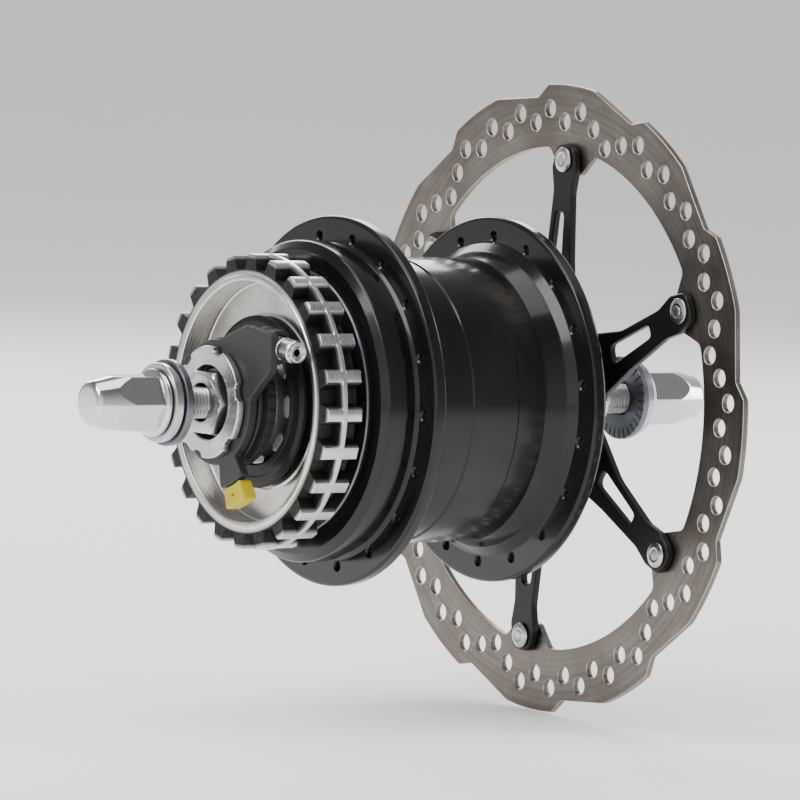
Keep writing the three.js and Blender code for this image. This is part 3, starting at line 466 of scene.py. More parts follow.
def rotor_steel():
    """Ground rotor steel, browned by heat: rings from the pads, cloudy patches, brighter on worn edges."""
    look = Finish("rotor_steel", Metallic=1.0)
    cloud = look.noise(0.055, detail=6.0, rough=0.6)
    patches = look.noise(0.3, detail=4.0)
    rings = look.noise(3.4, look.turned, detail=4.0, rough=0.75)
    broad_rings = look.noise(0.7, look.turned, detail=2.0)
    look.tone(
        (0.185, 0.160, 0.140),
        (look.spread(cloud, 0.0, 1.0, 0.38, 0.62), (0.265, 0.240, 0.218)),
        (look.spread(broad_rings, 0.0, 0.55), (0.115, 0.098, 0.085)),
        (look.spread(patches, 0.0, 0.3, 0.5, 0.7), (0.15, 0.115, 0.092)),
        (look.worn_edges(), (0.62, 0.60, 0.57)),
        # painted shade: darker in the corners that ambient occlusion finds
        (look.crevice(0.6, 1.5), (0.035, 0.03, 0.026)),
    )
    look.set(Roughness=look.spread(look.blended(rings, cloud, 0.6), 0.30, 0.48))
    look.bump((rings, 0.012), (patches, 0.008))
    return look.material


def sprocket_steel():
    """Bright stainless sprocket, darker in the roots of its teeth, with painted shade in its corners."""
    look = Finish("sprocket_steel", Metallic=1.0)
    cloud = look.noise(0.12, detail=5.0)
    grain = look.noise(1.6, detail=4.0, rough=0.7)
    rings = look.noise(2.6, look.turned, detail=3.0, rough=0.7)
    # the roots of the teeth are painted darker and rougher, set by radius
    track = look.spread(look.radius, 0.0, 1.0, BELT_ROOT - 0.9, BELT_ROOT - 0.2)
    below_tip = look.spread(look.radius, 1.0, 0.0, BELT_TIP - 1.5, BELT_TIP - 0.35)
    dark_roots = look.times(look.times(track, below_tip), look.spread(grain, 0.93, 1.0))
    # painted shade: darker and rougher in the corners that ambient occlusion finds
    crevice_shade = look.crevice(0.55)
    look.tone(
        (0.66, 0.65, 0.62),
        (look.spread(cloud), (0.50, 0.485, 0.46)),
        (dark_roots, (0.022, 0.021, 0.022)),
        (look.worn_edges(), (0.86, 0.85, 0.83)),
        (crevice_shade, SHADE_TINT),
    )
    polish = look.spread(rings, 0.20, 0.36)
    look.set(Roughness=look.plus(polish, look.times(look.math("MAXIMUM", dark_roots, crevice_shade), 0.3)))
    look.bump((rings, 0.006), (grain, 0.006))
    return look.material


def black_paint(name, roughness, coat, dust_share):
    """Black paint on forged alloy: slight orange peel, a few hair scratches, pale dust in corners."""
    look = Finish(name, Coat_Weight=coat, Coat_Roughness=0.1, Specular_IOR_Level=0.22)
    peel = look.noise(0.9, detail=2.0)
    cloud = look.noise(0.05, detail=4.0)
    hairs = look.noise(2.5, look.vector("MULTIPLY", look.place, (1.0, 9.0, 1.0)), detail=3.0, rough=0.6)
    specks = look.noise(2.6, detail=6.0, rough=0.75)
    dust = look.times(look.spread(specks, 0.0, 1.0, 0.62, 0.8), dust_share)
    settled = look.crevice(1.6 * dust_share, 5.0)
    tint_share = look.plus(dust, settled)
    worn_paint = (0.0085, 0.008, 0.0078)
    look.tone((0.0055, 0.0052, 0.0052), (look.spread(cloud), worn_paint), (tint_share, (0.10, 0.088, 0.076)))
    base = look.spread(cloud, roughness - 0.03, roughness + 0.04)
    worn = look.spread(hairs, 0.0, 0.05, 0.62, 0.78)
    look.set(Roughness=look.plus(look.plus(base, worn), look.times(tint_share, 1.2)))
    look.bump((peel, 0.006), (hairs, 0.0008))
    return look.material


def moulded(name, colour, dull, roughness, grain_depth, sheen=0.0):
    """Moulded plastic or rubber: fine spark-eroded grain, faint flow marks, and a dark brown-grey in the
    corners that is dust on black pieces and painted shade on lighter ones.
    """
    look = Finish(name, Specular_IOR_Level=0.45, Sheen_Weight=sheen)
    grain = look.noise(3.2, detail=4.0, rough=0.7)
    flow = look.noise(0.12, detail=4.0)
    # dark brown-grey where ambient occlusion finds corners: painted shade on light colours, a dust-like tint
    # on black
    tint_share = look.crevice(0.45, 2.5)
    look.tone(colour, (look.spread(flow), dull), (tint_share, (0.035, 0.031, 0.027)))
    look.set(Roughness=look.spread(look.blended(grain, flow, 0.5), roughness - 0.08, roughness + 0.1))
    look.bump((grain, grain_depth), (flow, 0.05))
    return look.material


FINISHES = {
    "chrome": chrome(),
    "bright_steel": steel("bright_steel", (0.72, 0.72, 0.72), (0.5, 0.49, 0.48), 0.16, 0.32, 0.006, 0.7),
    "ground_steel": steel("ground_steel", (0.56, 0.56, 0.57), (0.38, 0.37, 0.36), 0.24, 0.42, 0.008),
    "dark_steel": steel("dark_steel", (0.21, 0.225, 0.26), (0.13, 0.135, 0.15), 0.28, 0.46, 0.008),
    "rotor_steel": rotor_steel(),
    "sprocket_steel": sprocket_steel(),
    "shell_black": black_paint("shell_black", 0.2, 0.3, 0.03),
    "satin_black": black_paint("satin_black", 0.4, 0.1, 0.06),
    "black_plastic": moulded("black_plastic", (0.017, 0.0175, 0.019), (0.024, 0.024, 0.025), 0.5, 0.012),
    "black_rubber": moulded("black_rubber", (0.012, 0.012, 0.012), (0.02, 0.019, 0.018), 0.8, 0.02, 0.2),
    "yellow_plastic": moulded("yellow_plastic", (0.52, 0.42, 0.0), (0.48, 0.38, 0.0), 0.5, 0.004),
}


def stand_for(node, solid, finish=None):
    """Makes the fine piece for a CAD node, with its finish, its body and eased shading."""
    for line in solid.edges:
        if len(line.link_faces) == 2 and line.calc_face_angle(0) > SHARP:
            line.smooth = False
    for face in solid.faces:
        face.smooth = True
    made = as_object(solid, f"{node}_fine")
    made.data.materials.clear()
    made.data.materials.append(FINISHES[finish or SLOT_OF[node]])
    for face in made.data.polygons:
        face.material_index = 0
    weighted = made.modifiers.new("even_shading", "WEIGHTED_NORMAL")
    weighted.keep_sharp = True
    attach(made, BODY_OF[node])
    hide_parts(node)
    return made


# ---- axle
AXLE_RADIUS = 5
HALF_FLAT = 4.25
AXLE_END = 93.5
FLAT_START = 63.5
THREAD_START = 56
THREAD_PITCH = 1.0
THREAD_DEPTH = 0.5
SPINDLE_RADIUS = 6.9
BORE = 5.3


def thread_depth(y, degrees):
    """Depth of the axle's thread, 0 on its crest."""
    turn = (abs(y) / THREAD_PITCH + degrees / 360) % 1
    return THREAD_DEPTH * min(1, 1.15 * abs(2 * turn - 1))


def axle_surface(radius, y, degrees):
    if radius < AXLE_RADIUS - 0.9 or radius > AXLE_RADIUS + 0.1:
        return radius
    if THREAD_START < abs(y) < AXLE_END - 0.3:
        radius -= thread_depth(y, degrees)
    if abs(y) > FLAT_START:
        flat = HALF_FLAT / max(0.01, abs(math.sin(math.radians(degrees))))
        radius = min(radius, flat)
    return radius


def make_axle():
    chamfer = 0.8
    rows_per_pitch = 6
    rows = int((AXLE_END - chamfer - THREAD_START) / THREAD_PITCH * rows_per_pitch)
    stations = [THREAD_START + i * THREAD_PITCH / rows_per_pitch for i in range(rows + 1)]
    profile = [(0, -AXLE_END), (AXLE_RADIUS - chamfer, -AXLE_END)]
    profile += [(AXLE_RADIUS, -y) for y in reversed(stations)]
    profile += [(AXLE_RADIUS, -29.4), (SPINDLE_RADIUS - 0.3, -29), (SPINDLE_RADIUS, -28.7)]
    profile += [(SPINDLE_RADIUS, -1.7), (SPINDLE_RADIUS - 0.3, -1.4), (AXLE_RADIUS, -1.4)]
    profile += [(AXLE_RADIUS, y) for y in stations]
    profile += [(AXLE_RADIUS - chamfer, AXLE_END), (0, AXLE_END)]
    edge = 58.2              # angle at which a flat meets the round
    flat_edges = (edge, 180 - edge, 180 + edge, 360 - edge)
    bar = revolve(profile, axle_surface, turns=72, extra=flat_edges)
    pockets = []
    for low, high, pivot, scale in (
        (-15, -7, LARGE_PAWL_ANGLE, 1), (3, 11, SMALL_PAWL_ANGLE, SMALL_PAWL_SCALE),
    ):
        outline = pawl_outline(SUN_POCKET, SUN_PAWL_PIVOT, pivot, 1, scale=scale)
        pockets.append(plate(outline, [], low - 0.4, high + 0.4, 0.1))
    stand_for("axle", cut(bar, gathered(pockets)))


# ---- nuts and washers at the axle's ends
CAP_NUT_FLATS = 15
CAP_NUT_TURNS = 288      # fine enough for clean edges between the flats and the taper
ROW_SPACING = 0.25       # between rows of points on the cap nut's long stretches
LOCKNUT_FLATS = 17
NUT_BASE = 82.6
NUT_END = 104.4


def hex_corners(across_flats, round_radius):
    """Angles where a hexagon's sides meet the round that takes its corners off."""
    half = 30 - math.degrees(math.acos(across_flats / 2 / round_radius))
    return [middle + side * half for middle in around(6) for side in (-1, 1)]


def make_cap_nut(node, side):
    """Flanged nut whose flats run out on a taper; it is closed over the axle's end."""
    corner = CAP_NUT_FLATS / math.sqrt(3) - 0.12
    flange = 9.4
    flats = hexagonal(CAP_NUT_FLATS, AXLE_RADIUS + 0.5, NUT_BASE + 1.55)
    corners = [
        (BORE, NUT_BASE), (flange, NUT_BASE, 0.35), (flange, NUT_BASE + 1.1, 0.35),
        (corner + 0.25, NUT_BASE + 1.6, 0.2), (corner, NUT_BASE + 2.2, 0.2), (corner, NUT_BASE + 10.9, 0.5),
        (6, NUT_END, 2.1), (0, NUT_END, 0), (0, AXLE_END + 1, 0), (BORE, AXLE_END + 0.4),
    ]
    profile = [(radius, side * y) for radius, y in rounded(corners, steps=12)]
    dense = []
    for (r0, y0), (r1, y1) in zip(profile, profile[1:] + profile[:1]):
        dense.append((r0, y0))
        if abs(y1 - y0) > 1 and min(r0, r1) > AXLE_RADIUS:
            steps = math.ceil(abs(y1 - y0) / ROW_SPACING)
            dense += [(r0 + (r1 - r0) * t / steps, y0 + (y1 - y0) * t / steps) for t in range(1, steps)]
    edges = hex_corners(CAP_NUT_FLATS, corner)
    stand_for(node, revolve(dense, flats, turns=CAP_NUT_TURNS, extra=edges))


def make_locknut(node, outer_end, inner_end):
    corner = LOCKNUT_FLATS / math.sqrt(3) - 0.12
    side = 1 if outer_end > inner_end else -1
    flats = hexagonal(LOCKNUT_FLATS, AXLE_RADIUS + 1)
    corners = [
        (BORE, inner_end), (corner - 0.6, inner_end, 0.1), (corner, inner_end + 0.5 * side),
        (corner, outer_end - 0.7 * side), (corner - 0.9, outer_end - 0.15 * side, 0.1),
        (7.9, outer_end - 0.15 * side, 0.1), (7.7, outer_end, 0.1), (BORE, outer_end, 0.4),
    ]
    stand_for(node, turned(corners, limit=flats, extra=hex_corners(LOCKNUT_FLATS, corner)))


def make_nonturn_washer(word, side):
    """Washer with a tab for the dropout's slot, serrated on the inner face except beside the tab."""
    low, high = sorted((side * 77.2, side * 79.4))
    half_hole = HALF_FLAT + 0.3
    flats = [Vector((p.x, max(-half_hole, min(half_hole, p.y)))) for p in circle(BORE, 72)]
    body = plate(circle(12, 120), [flats], low, high, 0.35)
    tab_low, tab_high = sorted((side * 74.2, side * 78.3))
    tab = plate(rounded([(-10.4, -4), (-6.6, -4), (-6.6, 4), (-10.4, 4)], 0.6), [], tab_low, tab_high, 0.4)
    notch_low, notch_high = sorted((side * 76.9, side * 77.55))
    notches = []
    for middle in range(-144, 150, 12):
        ends = [(9.2, middle - 1.6), (12.6, middle - 1.4), (12.6, middle + 1.4), (9.2, middle + 1.6)]
        outline = rounded([polar(radius, angle) for radius, angle in ends], 0.1, 1)
        notches.append(plate(outline, [], notch_low, notch_high, 0.1, 1))
    stand_for(f"{word}_nonturn_washer", cut(joined(body, tab), gathered(notches)))


def make_axle_ends():
    make_cap_nut("right_cap_nut", -1)
    make_cap_nut("left_cap_nut", 1)
    make_locknut("right_locknut", -67.5, -63.2)
    make_locknut("left_locknut", 67.5, 62.5)
    for word, side in (("right", -1), ("left", 1)):
        make_nonturn_washer(word, side)
        low, high = sorted((side * 79.7, side * 82.3))
        stand_for(f"{word}_washer", tube(BORE, 11, low, high, 0.45))
    stand_for("left_spacer", tube(BORE, 10.8, 52.8, 62.2, 0.4))


# ---- cones, bearings and what else sits on the axle
DRIVER_BALLS = {"pitch": 11.95, "radius": 2.3, "y": -49.6, "count": 8}
SHELL_BALLS = {"pitch": 24.15, "radius": 2.4, "y": -33.6, "count": 12}
LEFT_BALLS = {"pitch": 11.4, "radius": 2.3, "y": 46, "count": 8}
CAGE_INSIDE, CAGE_OUTSIDE, CAGE_HALF = 0.9, 0.7, 0.8
STOP_NUT_LOW, STOP_NUT_HIGH = 36.4, 40.4


def ball(radius, x, y, z):
    solid = bmesh.new()
    bmesh.ops.create_icosphere(solid, subdivisions=4, radius=radius * MM)
    return shifted(solid, x, y, z)


def make_ball_retainer(node, pitch, radius, y, count):
    """Balls in a pressed cage, each with its own pocket."""
    places = circle(pitch, count)
    cage = tube(pitch - CAGE_INSIDE, pitch + CAGE_OUTSIDE, y - CAGE_HALF, y + CAGE_HALF, 0.2)
    pockets = gathered([ball(radius + 0.12, p.x, y, p.y) for p in places])
    stand_for(node, gathered([cut(cage, pockets), *[ball(radius, p.x, y, p.y) for p in places]]))


def make_bearings():
    make_ball_retainer("driver_ball_retainer", **DRIVER_BALLS)
    make_ball_retainer("shell_ball_retainer", **SHELL_BALLS)
    make_ball_retainer("left_ball_retainer", **LEFT_BALLS)
    cone = turned([
        (6.7, -62.9, 0.25), (9.5, -62.9, 0.4), (9.5, -53.5, 0.2), (11.2, -53.2), (11.2, -52.6),
        (9.5, -51.6, 1.2), (9.5, -47.9), (8.7, -46.9), (6.7, -46.9, 0.25),
    ])
    windows = gathered(blocks((54, 234), 5.7, 10.5, 52, 0.4, -57.2, -54.1, 0.2))
    stand_for("right_cone", cut(cone, windows))
    stand_for("left_cone", turned([
        (BORE, 41), (8.15, 41, 0.2), (8.95, 41.8, 0.5), (8.95, 48.6, 1.6), (10.8, 50.4, 0.4),
        (10.8, 52.5, 0.4), (BORE, 52.5),
    ]))
    stand_for("left_ball_cup", turned([
        (13.9, 49.4), (13.9, 43.4, 0.6), (12.9, 42.9, 0.15), (15.6, 42.9), (15.6, 49.4, 0.4),
    ]))


def make_axle_stop_nut():
    corner = LOCKNUT_FLATS / math.sqrt(3) - 0.1
    eased = corner - 0.7
    stand_for("axle_stop_nut", turned([
        (BORE, STOP_NUT_LOW), (eased, STOP_NUT_LOW, 0.1), (corner, STOP_NUT_LOW + 0.5, 0.2),
        (corner, STOP_NUT_HIGH - 0.5, 0.2), (eased, STOP_NUT_HIGH, 0.1), (BORE, STOP_NUT_HIGH),
    ], limit=hexagonal(LOCKNUT_FLATS, AXLE_RADIUS + 1), extra=hex_corners(LOCKNUT_FLATS, corner)))


def coil(radius, wire, low, high, turns, sides=12):
    """Round wire wound about the axle."""
    steps = turns * 48
    solid = bmesh.new()
    rings = []
    for i in range(steps + 1):
        outward = polar(1, 360 * turns * i / steps)
        y = low + (high - low) * i / steps
        ring = []
        for k in range(sides):
            across = polar(wire, 360 * k / sides)
            place = outward * (radius + across.x)
            ring.append(solid.verts.new((place.x * MM, (y + across.y) * MM, place.y * MM)))
        rings.append(ring)
    for near, far in zip(rings, rings[1:]):
        skin(solid, near, far)
    solid.faces.new(rings[0])
    solid.faces.new(rings[-1])
    bmesh.ops.recalc_face_normals(solid, faces=solid.faces)
    return solid


def make_shift_sleeve():
    body = tube(5.35, 6.35, -60, -30.5, 0.2)
    lugs = blocks((90, 270), 5.85, 11.2, 8, 0.5, -56.9, -54.4, 0.35)
    stand_for("shift_sleeve", joined(body, *lugs))


# ---- gears, ratchets and pawls
GEAR_MODULE = 1
PRESSURE_ANGLE = math.radians(20)
BACKLASH = 0.2
LARGE_SUN_TEETH, SMALL_SUN_TEETH = 24, 18
SMALL_STEP_TEETH, LARGE_STEP_TEETH = 18, 24
RING_TEETH = LARGE_SUN_TEETH + 2 * SMALL_STEP_TEETH
PLANET_CIRCLE = GEAR_MODULE * (LARGE_SUN_TEETH + SMALL_STEP_TEETH) / 2
PLANET_ANGLES = (90, 210, 330)
PILLAR_ANGLES = (150, 270, 30)
PIN_RADIUS = 3.5
RING_OUTER = 33.8

SUN_PAWL = [(-0.9, 0), (-0.4, -0.8), (0.4, -0.8), (3.9, 0.7), (3.6, 1.6), (-0.3, 0.9)]
SUN_POCKET = [(-1.3, -1.3), (1.6, -1.9), (4.7, -1.3), (4.7, 3.5), (-1.3, 3.5)]
SUN_PAWL_PIVOT = 5.4
LARGE_PAWL_ANGLE, SMALL_PAWL_ANGLE = 40, 220
SMALL_PAWL_SCALE = AXLE_RADIUS / SPINDLE_RADIUS
SUN_RATCHET_TEETH, SUN_LAND, SUN_DEEP, SUN_FACE_OFFSET = 12, 7.3, 8.6, 33.6
RING_PAWL = [(-1.1, 0), (-0.6, -0.9), (0.3, -1.1), (6.5, 0.4), (6.2, 2), (-0.3, 1)]
RING_PAWL_PIVOT = 32.7
RING_PAWL_ANGLES = (40, 220)
CLUTCH_TEETH, CLUTCH_LAND, CLUTCH_DEEP, CLUTCH_FACE_OFFSET = 24, 34.4, 36, 11.4


def gear_outline(teeth, low, high, angle, slack, centre=(0, 0)):
    """Involute gear with a tooth centred on the angle, or an internal gear's hole with a space there."""
    pitch_radius = GEAR_MODULE * teeth / 2
    base_radius = pitch_radius * math.cos(PRESSURE_ANGLE)
    half_at_pitch = math.pi / (2 * teeth) - slack / (2 * pitch_radius)
    flank = []
    flank_steps = 6
    for k in range(flank_steps + 1):
        radius = low + (high - low) * k / flank_steps
        pressure = math.acos(min(1, base_radius / radius))
        narrowing = math.tan(pressure) - pressure - math.tan(PRESSURE_ANGLE) + PRESSURE_ANGLE
        flank.append((radius, math.degrees(half_at_pitch - narrowing)))
    points = []
    for middle in around(teeth, angle):
        points += [polar(radius, middle - half) for radius, half in flank]
        points += [polar(radius, middle + half) for radius, half in reversed(flank)]
    return [Vector(centre) + point for point in rounded(points, 0.14, 2)]


def spur(teeth, angle, centre=(0, 0)):
    pitch_radius = GEAR_MODULE * teeth / 2
    low, high = pitch_radius - 1.25 * GEAR_MODULE, pitch_radius + GEAR_MODULE
    return gear_outline(teeth, low, high, angle, BACKLASH / 2, centre)


def ratchet_outline(teeth, land, deep, first_angle, slope_side):
    """Every tooth has a steep face, then a slope that ends at the next one."""
    corners = []
    for face in around(teeth, first_angle):
        pair = [polar(land, face), polar(deep, face)]
        corners += pair if slope_side > 0 else pair[::-1]
    return rounded(corners, 0.2, 3)


def pawl_outline(points, pivot_radius, pivot_angle, pointing_side, lift=0, scale=1, fillet=0.3):
    """Pawl or its pocket, drawn about the pivot as (forwards along the rim, outwards)."""
    outward = polar(1, pivot_angle)
    along = polar(1, pivot_angle + pointing_side * 90)
    lean = math.radians(lift)
    placed = []
    for u, v in points:
        forward = u * math.cos(lean) + v * math.sin(lean)
        out = pivot_radius + v * math.cos(lean) - u * math.sin(lean)
        placed.append((outward * out + along * forward) * scale)
    return rounded(placed, fillet)


def make_suns():
    for node, teeth, low, high, pivot, scale in (
        ("large_sun", LARGE_SUN_TEETH, -19.5, -2.2, LARGE_PAWL_ANGLE, 1),
        ("small_sun", SMALL_SUN_TEETH, -0.6, 14, SMALL_PAWL_ANGLE, SMALL_PAWL_SCALE),
    ):
        face = pivot + SUN_FACE_OFFSET
        ratchet = ratchet_outline(SUN_RATCHET_TEETH, scale * SUN_LAND, scale * SUN_DEEP, face, -1)
        stand_for(node, plate(spur(teeth, PLANET_ANGLES[0] + 180 / teeth), [ratchet], low, high, 0.25))
    raised = pawl_outline(SUN_PAWL, SUN_PAWL_PIVOT, LARGE_PAWL_ANGLE, 1, fillet=0.25)
    stand_for("large_sun_pawl", plate(raised, [], -15, -7, 0.15))
    lowered = pawl_outline(SUN_PAWL, SUN_PAWL_PIVOT, SMALL_PAWL_ANGLE, 1, 25, SMALL_PAWL_SCALE, 0.25)
    stand_for("small_sun_pawl", plate(lowered, [], 3, 11, 0.15))


def make_planets():
    for i, angle in enumerate(PLANET_ANGLES):
        centre = polar(PLANET_CIRCLE, angle)
        small_step = plate(spur(SMALL_STEP_TEETH, angle, centre), [], -20.3, -0.5, 0.3)
        large_step = plate(spur(LARGE_STEP_TEETH, angle, centre), [], -0.9, 14.4, 0.3)
        bore = shifted(cylinder(PIN_RADIUS + 0.35, -22, 16, 72), centre.x, 0, centre.y)
        stand_for(f"planet_{i + 1}", cut(joined(small_step, large_step), bore))
        pin_end = PIN_RADIUS - 0.5
        pin = turned([
            (0, -24.7, 0), (pin_end, -24.7, 0.1), (PIN_RADIUS, -24.2, 0.2), (PIN_RADIUS, 19.7, 0.2),
            (pin_end, 20.2, 0.1), (1.2, 20.2, 0.1), (0.9, 19.6, 0.2), (0, 19.4, 0),
        ], turns=72)
        stand_for(f"planet_pin_{i + 1}", shifted(pin, centre.x, 0, centre.y))


def make_planet_carrier():
    pin_holes = [circle(PIN_RADIUS + 0.3, 48, polar(PLANET_CIRCLE, angle)) for angle in PLANET_ANGLES]
    right_plate = plate(circle(30.8, 180), [circle(13.6, 96), *pin_holes], -24.9, -20.9, 0.4)
    left_plate = plate(circle(30.8, 180), [circle(10.5, 96), *pin_holes], 15, 19, 0.4)
    pillars = blocks(PILLAR_ANGLES, 17, 27.5, 18, 1.2, -21.9, 16, 0.1)
    pockets = gathered(blocks(PILLAR_ANGLES, 18.7, 26.3, 18, 0.8, -26, -22.7, 0.2))
    stand_for("planet_carrier", cut(joined(right_plate, left_plate, *pillars), pockets))


def make_ring_gear():
    pitch_radius = GEAR_MODULE * RING_TEETH / 2
    hole = gear_outline(RING_TEETH, pitch_radius - GEAR_MODULE, pitch_radius + 1.25 * GEAR_MODULE,
                        PLANET_ANGLES[0], -BACKLASH / 2)
    toothed = plate(circle(RING_OUTER, 180), [hole], -18.5, -2, 0.3)
    collar = disc(RING_OUTER, 31.5, -29, -17, 0.3)
    middles = [angle - 5.2 for angle in RING_PAWL_ANGLES]
    windows = gathered(blocks(middles, 30.5, 34.8, 8.2, 0.6, -27.9, -21.3, 0.1))
    stand_for("ring_gear", cut(joined(toothed, collar), windows))


def make_clutch():
    face = RING_PAWL_ANGLES[0] - CLUTCH_FACE_OFFSET
    ratchet = ratchet_outline(CLUTCH_TEETH, CLUTCH_LAND, CLUTCH_DEEP, face, 1)
    stand_for("clutch_ratchet_ring", plate(circle(37.5, 180), [ratchet], -29.9, -20.2, 0.3))
    for i, angle in enumerate(RING_PAWL_ANGLES):
        pawl = pawl_outline(RING_PAWL, RING_PAWL_PIVOT, angle, -1)
        stand_for(f"ring_pawl_{i + 1}", plate(pawl, [], -27.6, -21.6, 0.2))


def make_driver():
    body = turned([
        (14.4, -52.9), (16, -52.9, 0.4), (16, -40.6), (21.6, -40, 0.4), (21.6, -30.6, 1.2),
        (27, -28.9, 0.4), (27, -25.8, 0.4), (8, -25.8, 0.4), (8, -46.2), (14.4, -46.6, 1.4),
    ])
    splines = plate(splined(15.9, 17.3, SPLINES), [circle(15.1, 96)], -49.5, -41, 0.3)
    dogs = blocks(PILLAR_ANGLES, 19, 26, 17, 0.8, -26.3, -23, 0.35)
    stand_for("driver", joined(body, splines, *dogs))


# ---- hub shell
RIGHT_FLANGE = -22.6
LEFT_FLANGE = 31.8
FLANGE_RADIUS = 52
FLANGE_HALF = 2
SPOKE_CIRCLE = 46.3
SPOKES = 18              # in each flange
SPOKE_HOLE = 1.3


def spoke_hole(station, degrees):
    """Cutter for one spoke hole, wider at both faces of the flange."""
    x, z = polar(SPOKE_CIRCLE, degrees)
    mouth = SPOKE_HOLE + 0.9
    profile = [(0, -4), (mouth, -4), (mouth, -2.5), (SPOKE_HOLE, -1.55),
               (SPOKE_HOLE, 1.55), (mouth, 2.5), (mouth, 4), (0, 4)]
    return shifted(revolve(profile, turns=20), x, station, z)


def make_hub_shell():
    def flange(y):
        low, high = y - FLANGE_HALF, y + FLANGE_HALF
        return [(44.6, low, 0.8), (FLANGE_RADIUS, low, 1.1), (FLANGE_RADIUS, high, 1.1), (44.6, high, 0.8)]

    right_end = [
        (38, -36.5), (42.6, -36.5, 0.6), (45, -35, 0.9), (45, -29, 0.7), (43.6, -28.2, 0.4),
        (43.6, -25.6, 0.7),
    ]
    barrel = [
        (42.4, -18.6, 1.5), (40, -13, 4), (40, -3.4), (40.35, -3), (40.35, 12), (40, 12.4), (40, 22, 4),
        (42, 27.6, 1.5),
    ]
    left_end = [
        (42, 35, 0.8), (39, 37.6, 2.5), (33.6, 40.6, 1), (33, 41.4, 0.5), (26, 44.7, 2.5), (20.5, 46.2, 0.8),
        (20.5, 49.6, 0.4), (17.5, 49.6, 0.4), (17.5, 54.4, 0.4), (15.9, 54.4),
    ]
    inside = [
        (15.9, 42.5, 0.2), (12.4, 42.5), (12.4, 40.8), (34, 35.5, 3), (36.5, 32, 2), (36.5, -19.9, 0.2),
        (38, -19.9, 0.2),
    ]
    outline = right_end + flange(RIGHT_FLANGE) + barrel + flange(LEFT_FLANGE) + left_end + inside
    shell = turned(outline, steps=5, turns=216)
    holes = [spoke_hole(RIGHT_FLANGE, angle) for angle in around(SPOKES)]
    holes += [spoke_hole(LEFT_FLANGE, angle) for angle in around(SPOKES, 180 / SPOKES)]
    stand_for("hub_shell", cut(shell, gathered(holes)))


def make_shell_inserts():
    stand_for("right_ball_cup", turned([
        (26.9, -36.9), (28, -37.4), (31, -37.4, 0.1), (31.3, -37.1, 0.1), (34.2, -37.1, 0.1),
        (34.5, -37.4, 0.1), (37.2, -37.4), (37.5, -36.9, 0.2), (37.5, -30.3), (31, -30.3, 0.5),
        (26.9, -31.2),
    ], turns=180))
    stand_for("left_seal", turned([
        (11.1, 51.4, 0.2), (12.8, 51.4), (12.8, 58, 0.6), (16, 58.6), (16, 60.2, 0.5),
        (13.6, 60.2, 0.2), (13.2, 59.8, 0.2), (12.2, 59.8, 0.2), (11.1, 60.2, 0.2),
    ]))


# ---- sprocket and what retains it
GUIDE_STATION = -47
GUIDE_HALF = 0.75
SPLINES = 9


def belt_tooth(degrees):
    """Radius of the belt track beside its guide: rounded teeth between wide rounded roots."""
    pitch = 360 / BELT_TEETH
    away = abs((degrees / pitch + 0.5) % 1 - 0.5)
    share = max(0, min(1, (0.305 - away) / 0.15))
    crown = 0.25 * (away / 0.16) ** 2 if away < 0.16 else 0.25
    return BELT_ROOT + (BELT_TIP - BELT_ROOT) * share * share * (3 - 2 * share) - crown * share


def sprocket_surface(radius, y, degrees):
    if radius < 20:
        away = abs((degrees * SPLINES / 360 + 0.5) % 1 - 0.5)
        return 16.3 + 1.3 * max(0, min(1, (0.3 - away) / 0.1))
    if radius < BELT_ROOT - 0.5:
        return radius
    beside = abs(y - GUIDE_STATION)
    guide = BELT_TIP - 0.02 * max(0, min(1, (GUIDE_HALF + 0.25 - beside) / 0.25))
    track = belt_tooth(degrees)
    if beside > GUIDE_HALF + 0.12:
        return min(radius, track)
    if beside > GUIDE_HALF:
        return min(radius, max(track, BELT_TIP - 2.2))
    if beside > GUIDE_HALF - 0.2:
        return min(radius, max(track, guide - 0.35))
    return min(radius, guide)


def make_belt_sprocket():
    half_guide = (0.25, 0.55, 0.75, 0.86, 0.9)
    guide = [GUIDE_STATION - offset for offset in reversed(half_guide)]
    guide += [GUIDE_STATION + offset for offset in half_guide]
    rim = [(BELT_TIP, y, 0) for y in (-51.5, -50, -48.6, *guide, -45.2, -43.8, -42.4)]
    corners = [
        (33.6, -53, 0.5), (35, -53, 0.2), (35.4, -52.7, 0.2), (BELT_TIP, -52.7, 1), *rim,
        (BELT_TIP, -41.3, 1), (35.4, -41.3, 0.2), (35, -41, 0.2), (33.6, -41, 0.4),
        (33.6, -42, 0.5), (24.6, -42, 0.4), (24, -41.7), (16.3, -41.7, 0.2),
        (16.3, -45.7, 0.2), (24, -45.7), (24.6, -45.4, 0.4), (33.6, -45.4, 0.8),
    ]
    solid = turned(corners, turns=BELT_TEETH * 20, limit=sprocket_surface)
    stand_for("belt_sprocket", solid, "sprocket_steel")


def make_sprocket_retainers():
    snap = rounded(arc(19.4, -78, 258, 90) + arc(17.6, 258, -78, 90), 0.8)
    stand_for("sprocket_snap_ring", plate(snap, [], -47, -45.95, 0.2))
    stand_for("driver_dust_cap", turned([
        (17.6, -49.8, 0.2), (19, -49.8, 0.2), (19.2, -49.5, 0.1), (20.8, -49.5, 0.1), (21, -49.8, 0.1),
        (22.5, -49.8, 0.6), (24, -49.1, 0.4), (24, -48.3), (22, -48.1, 0.6), (17.6, -47.4, 0.2),
    ]))
    stand_for("driver_seal", turned([
        (21.9, -41.6, 0.2), (24, -41.7, 0.2), (29, -41.6, 0.8), (31, -40.2), (31.4, -40.1, 0.2),
        (33, -38.7), (33, -37.8), (28, -37.8), (21.9, -39.6),
    ]))


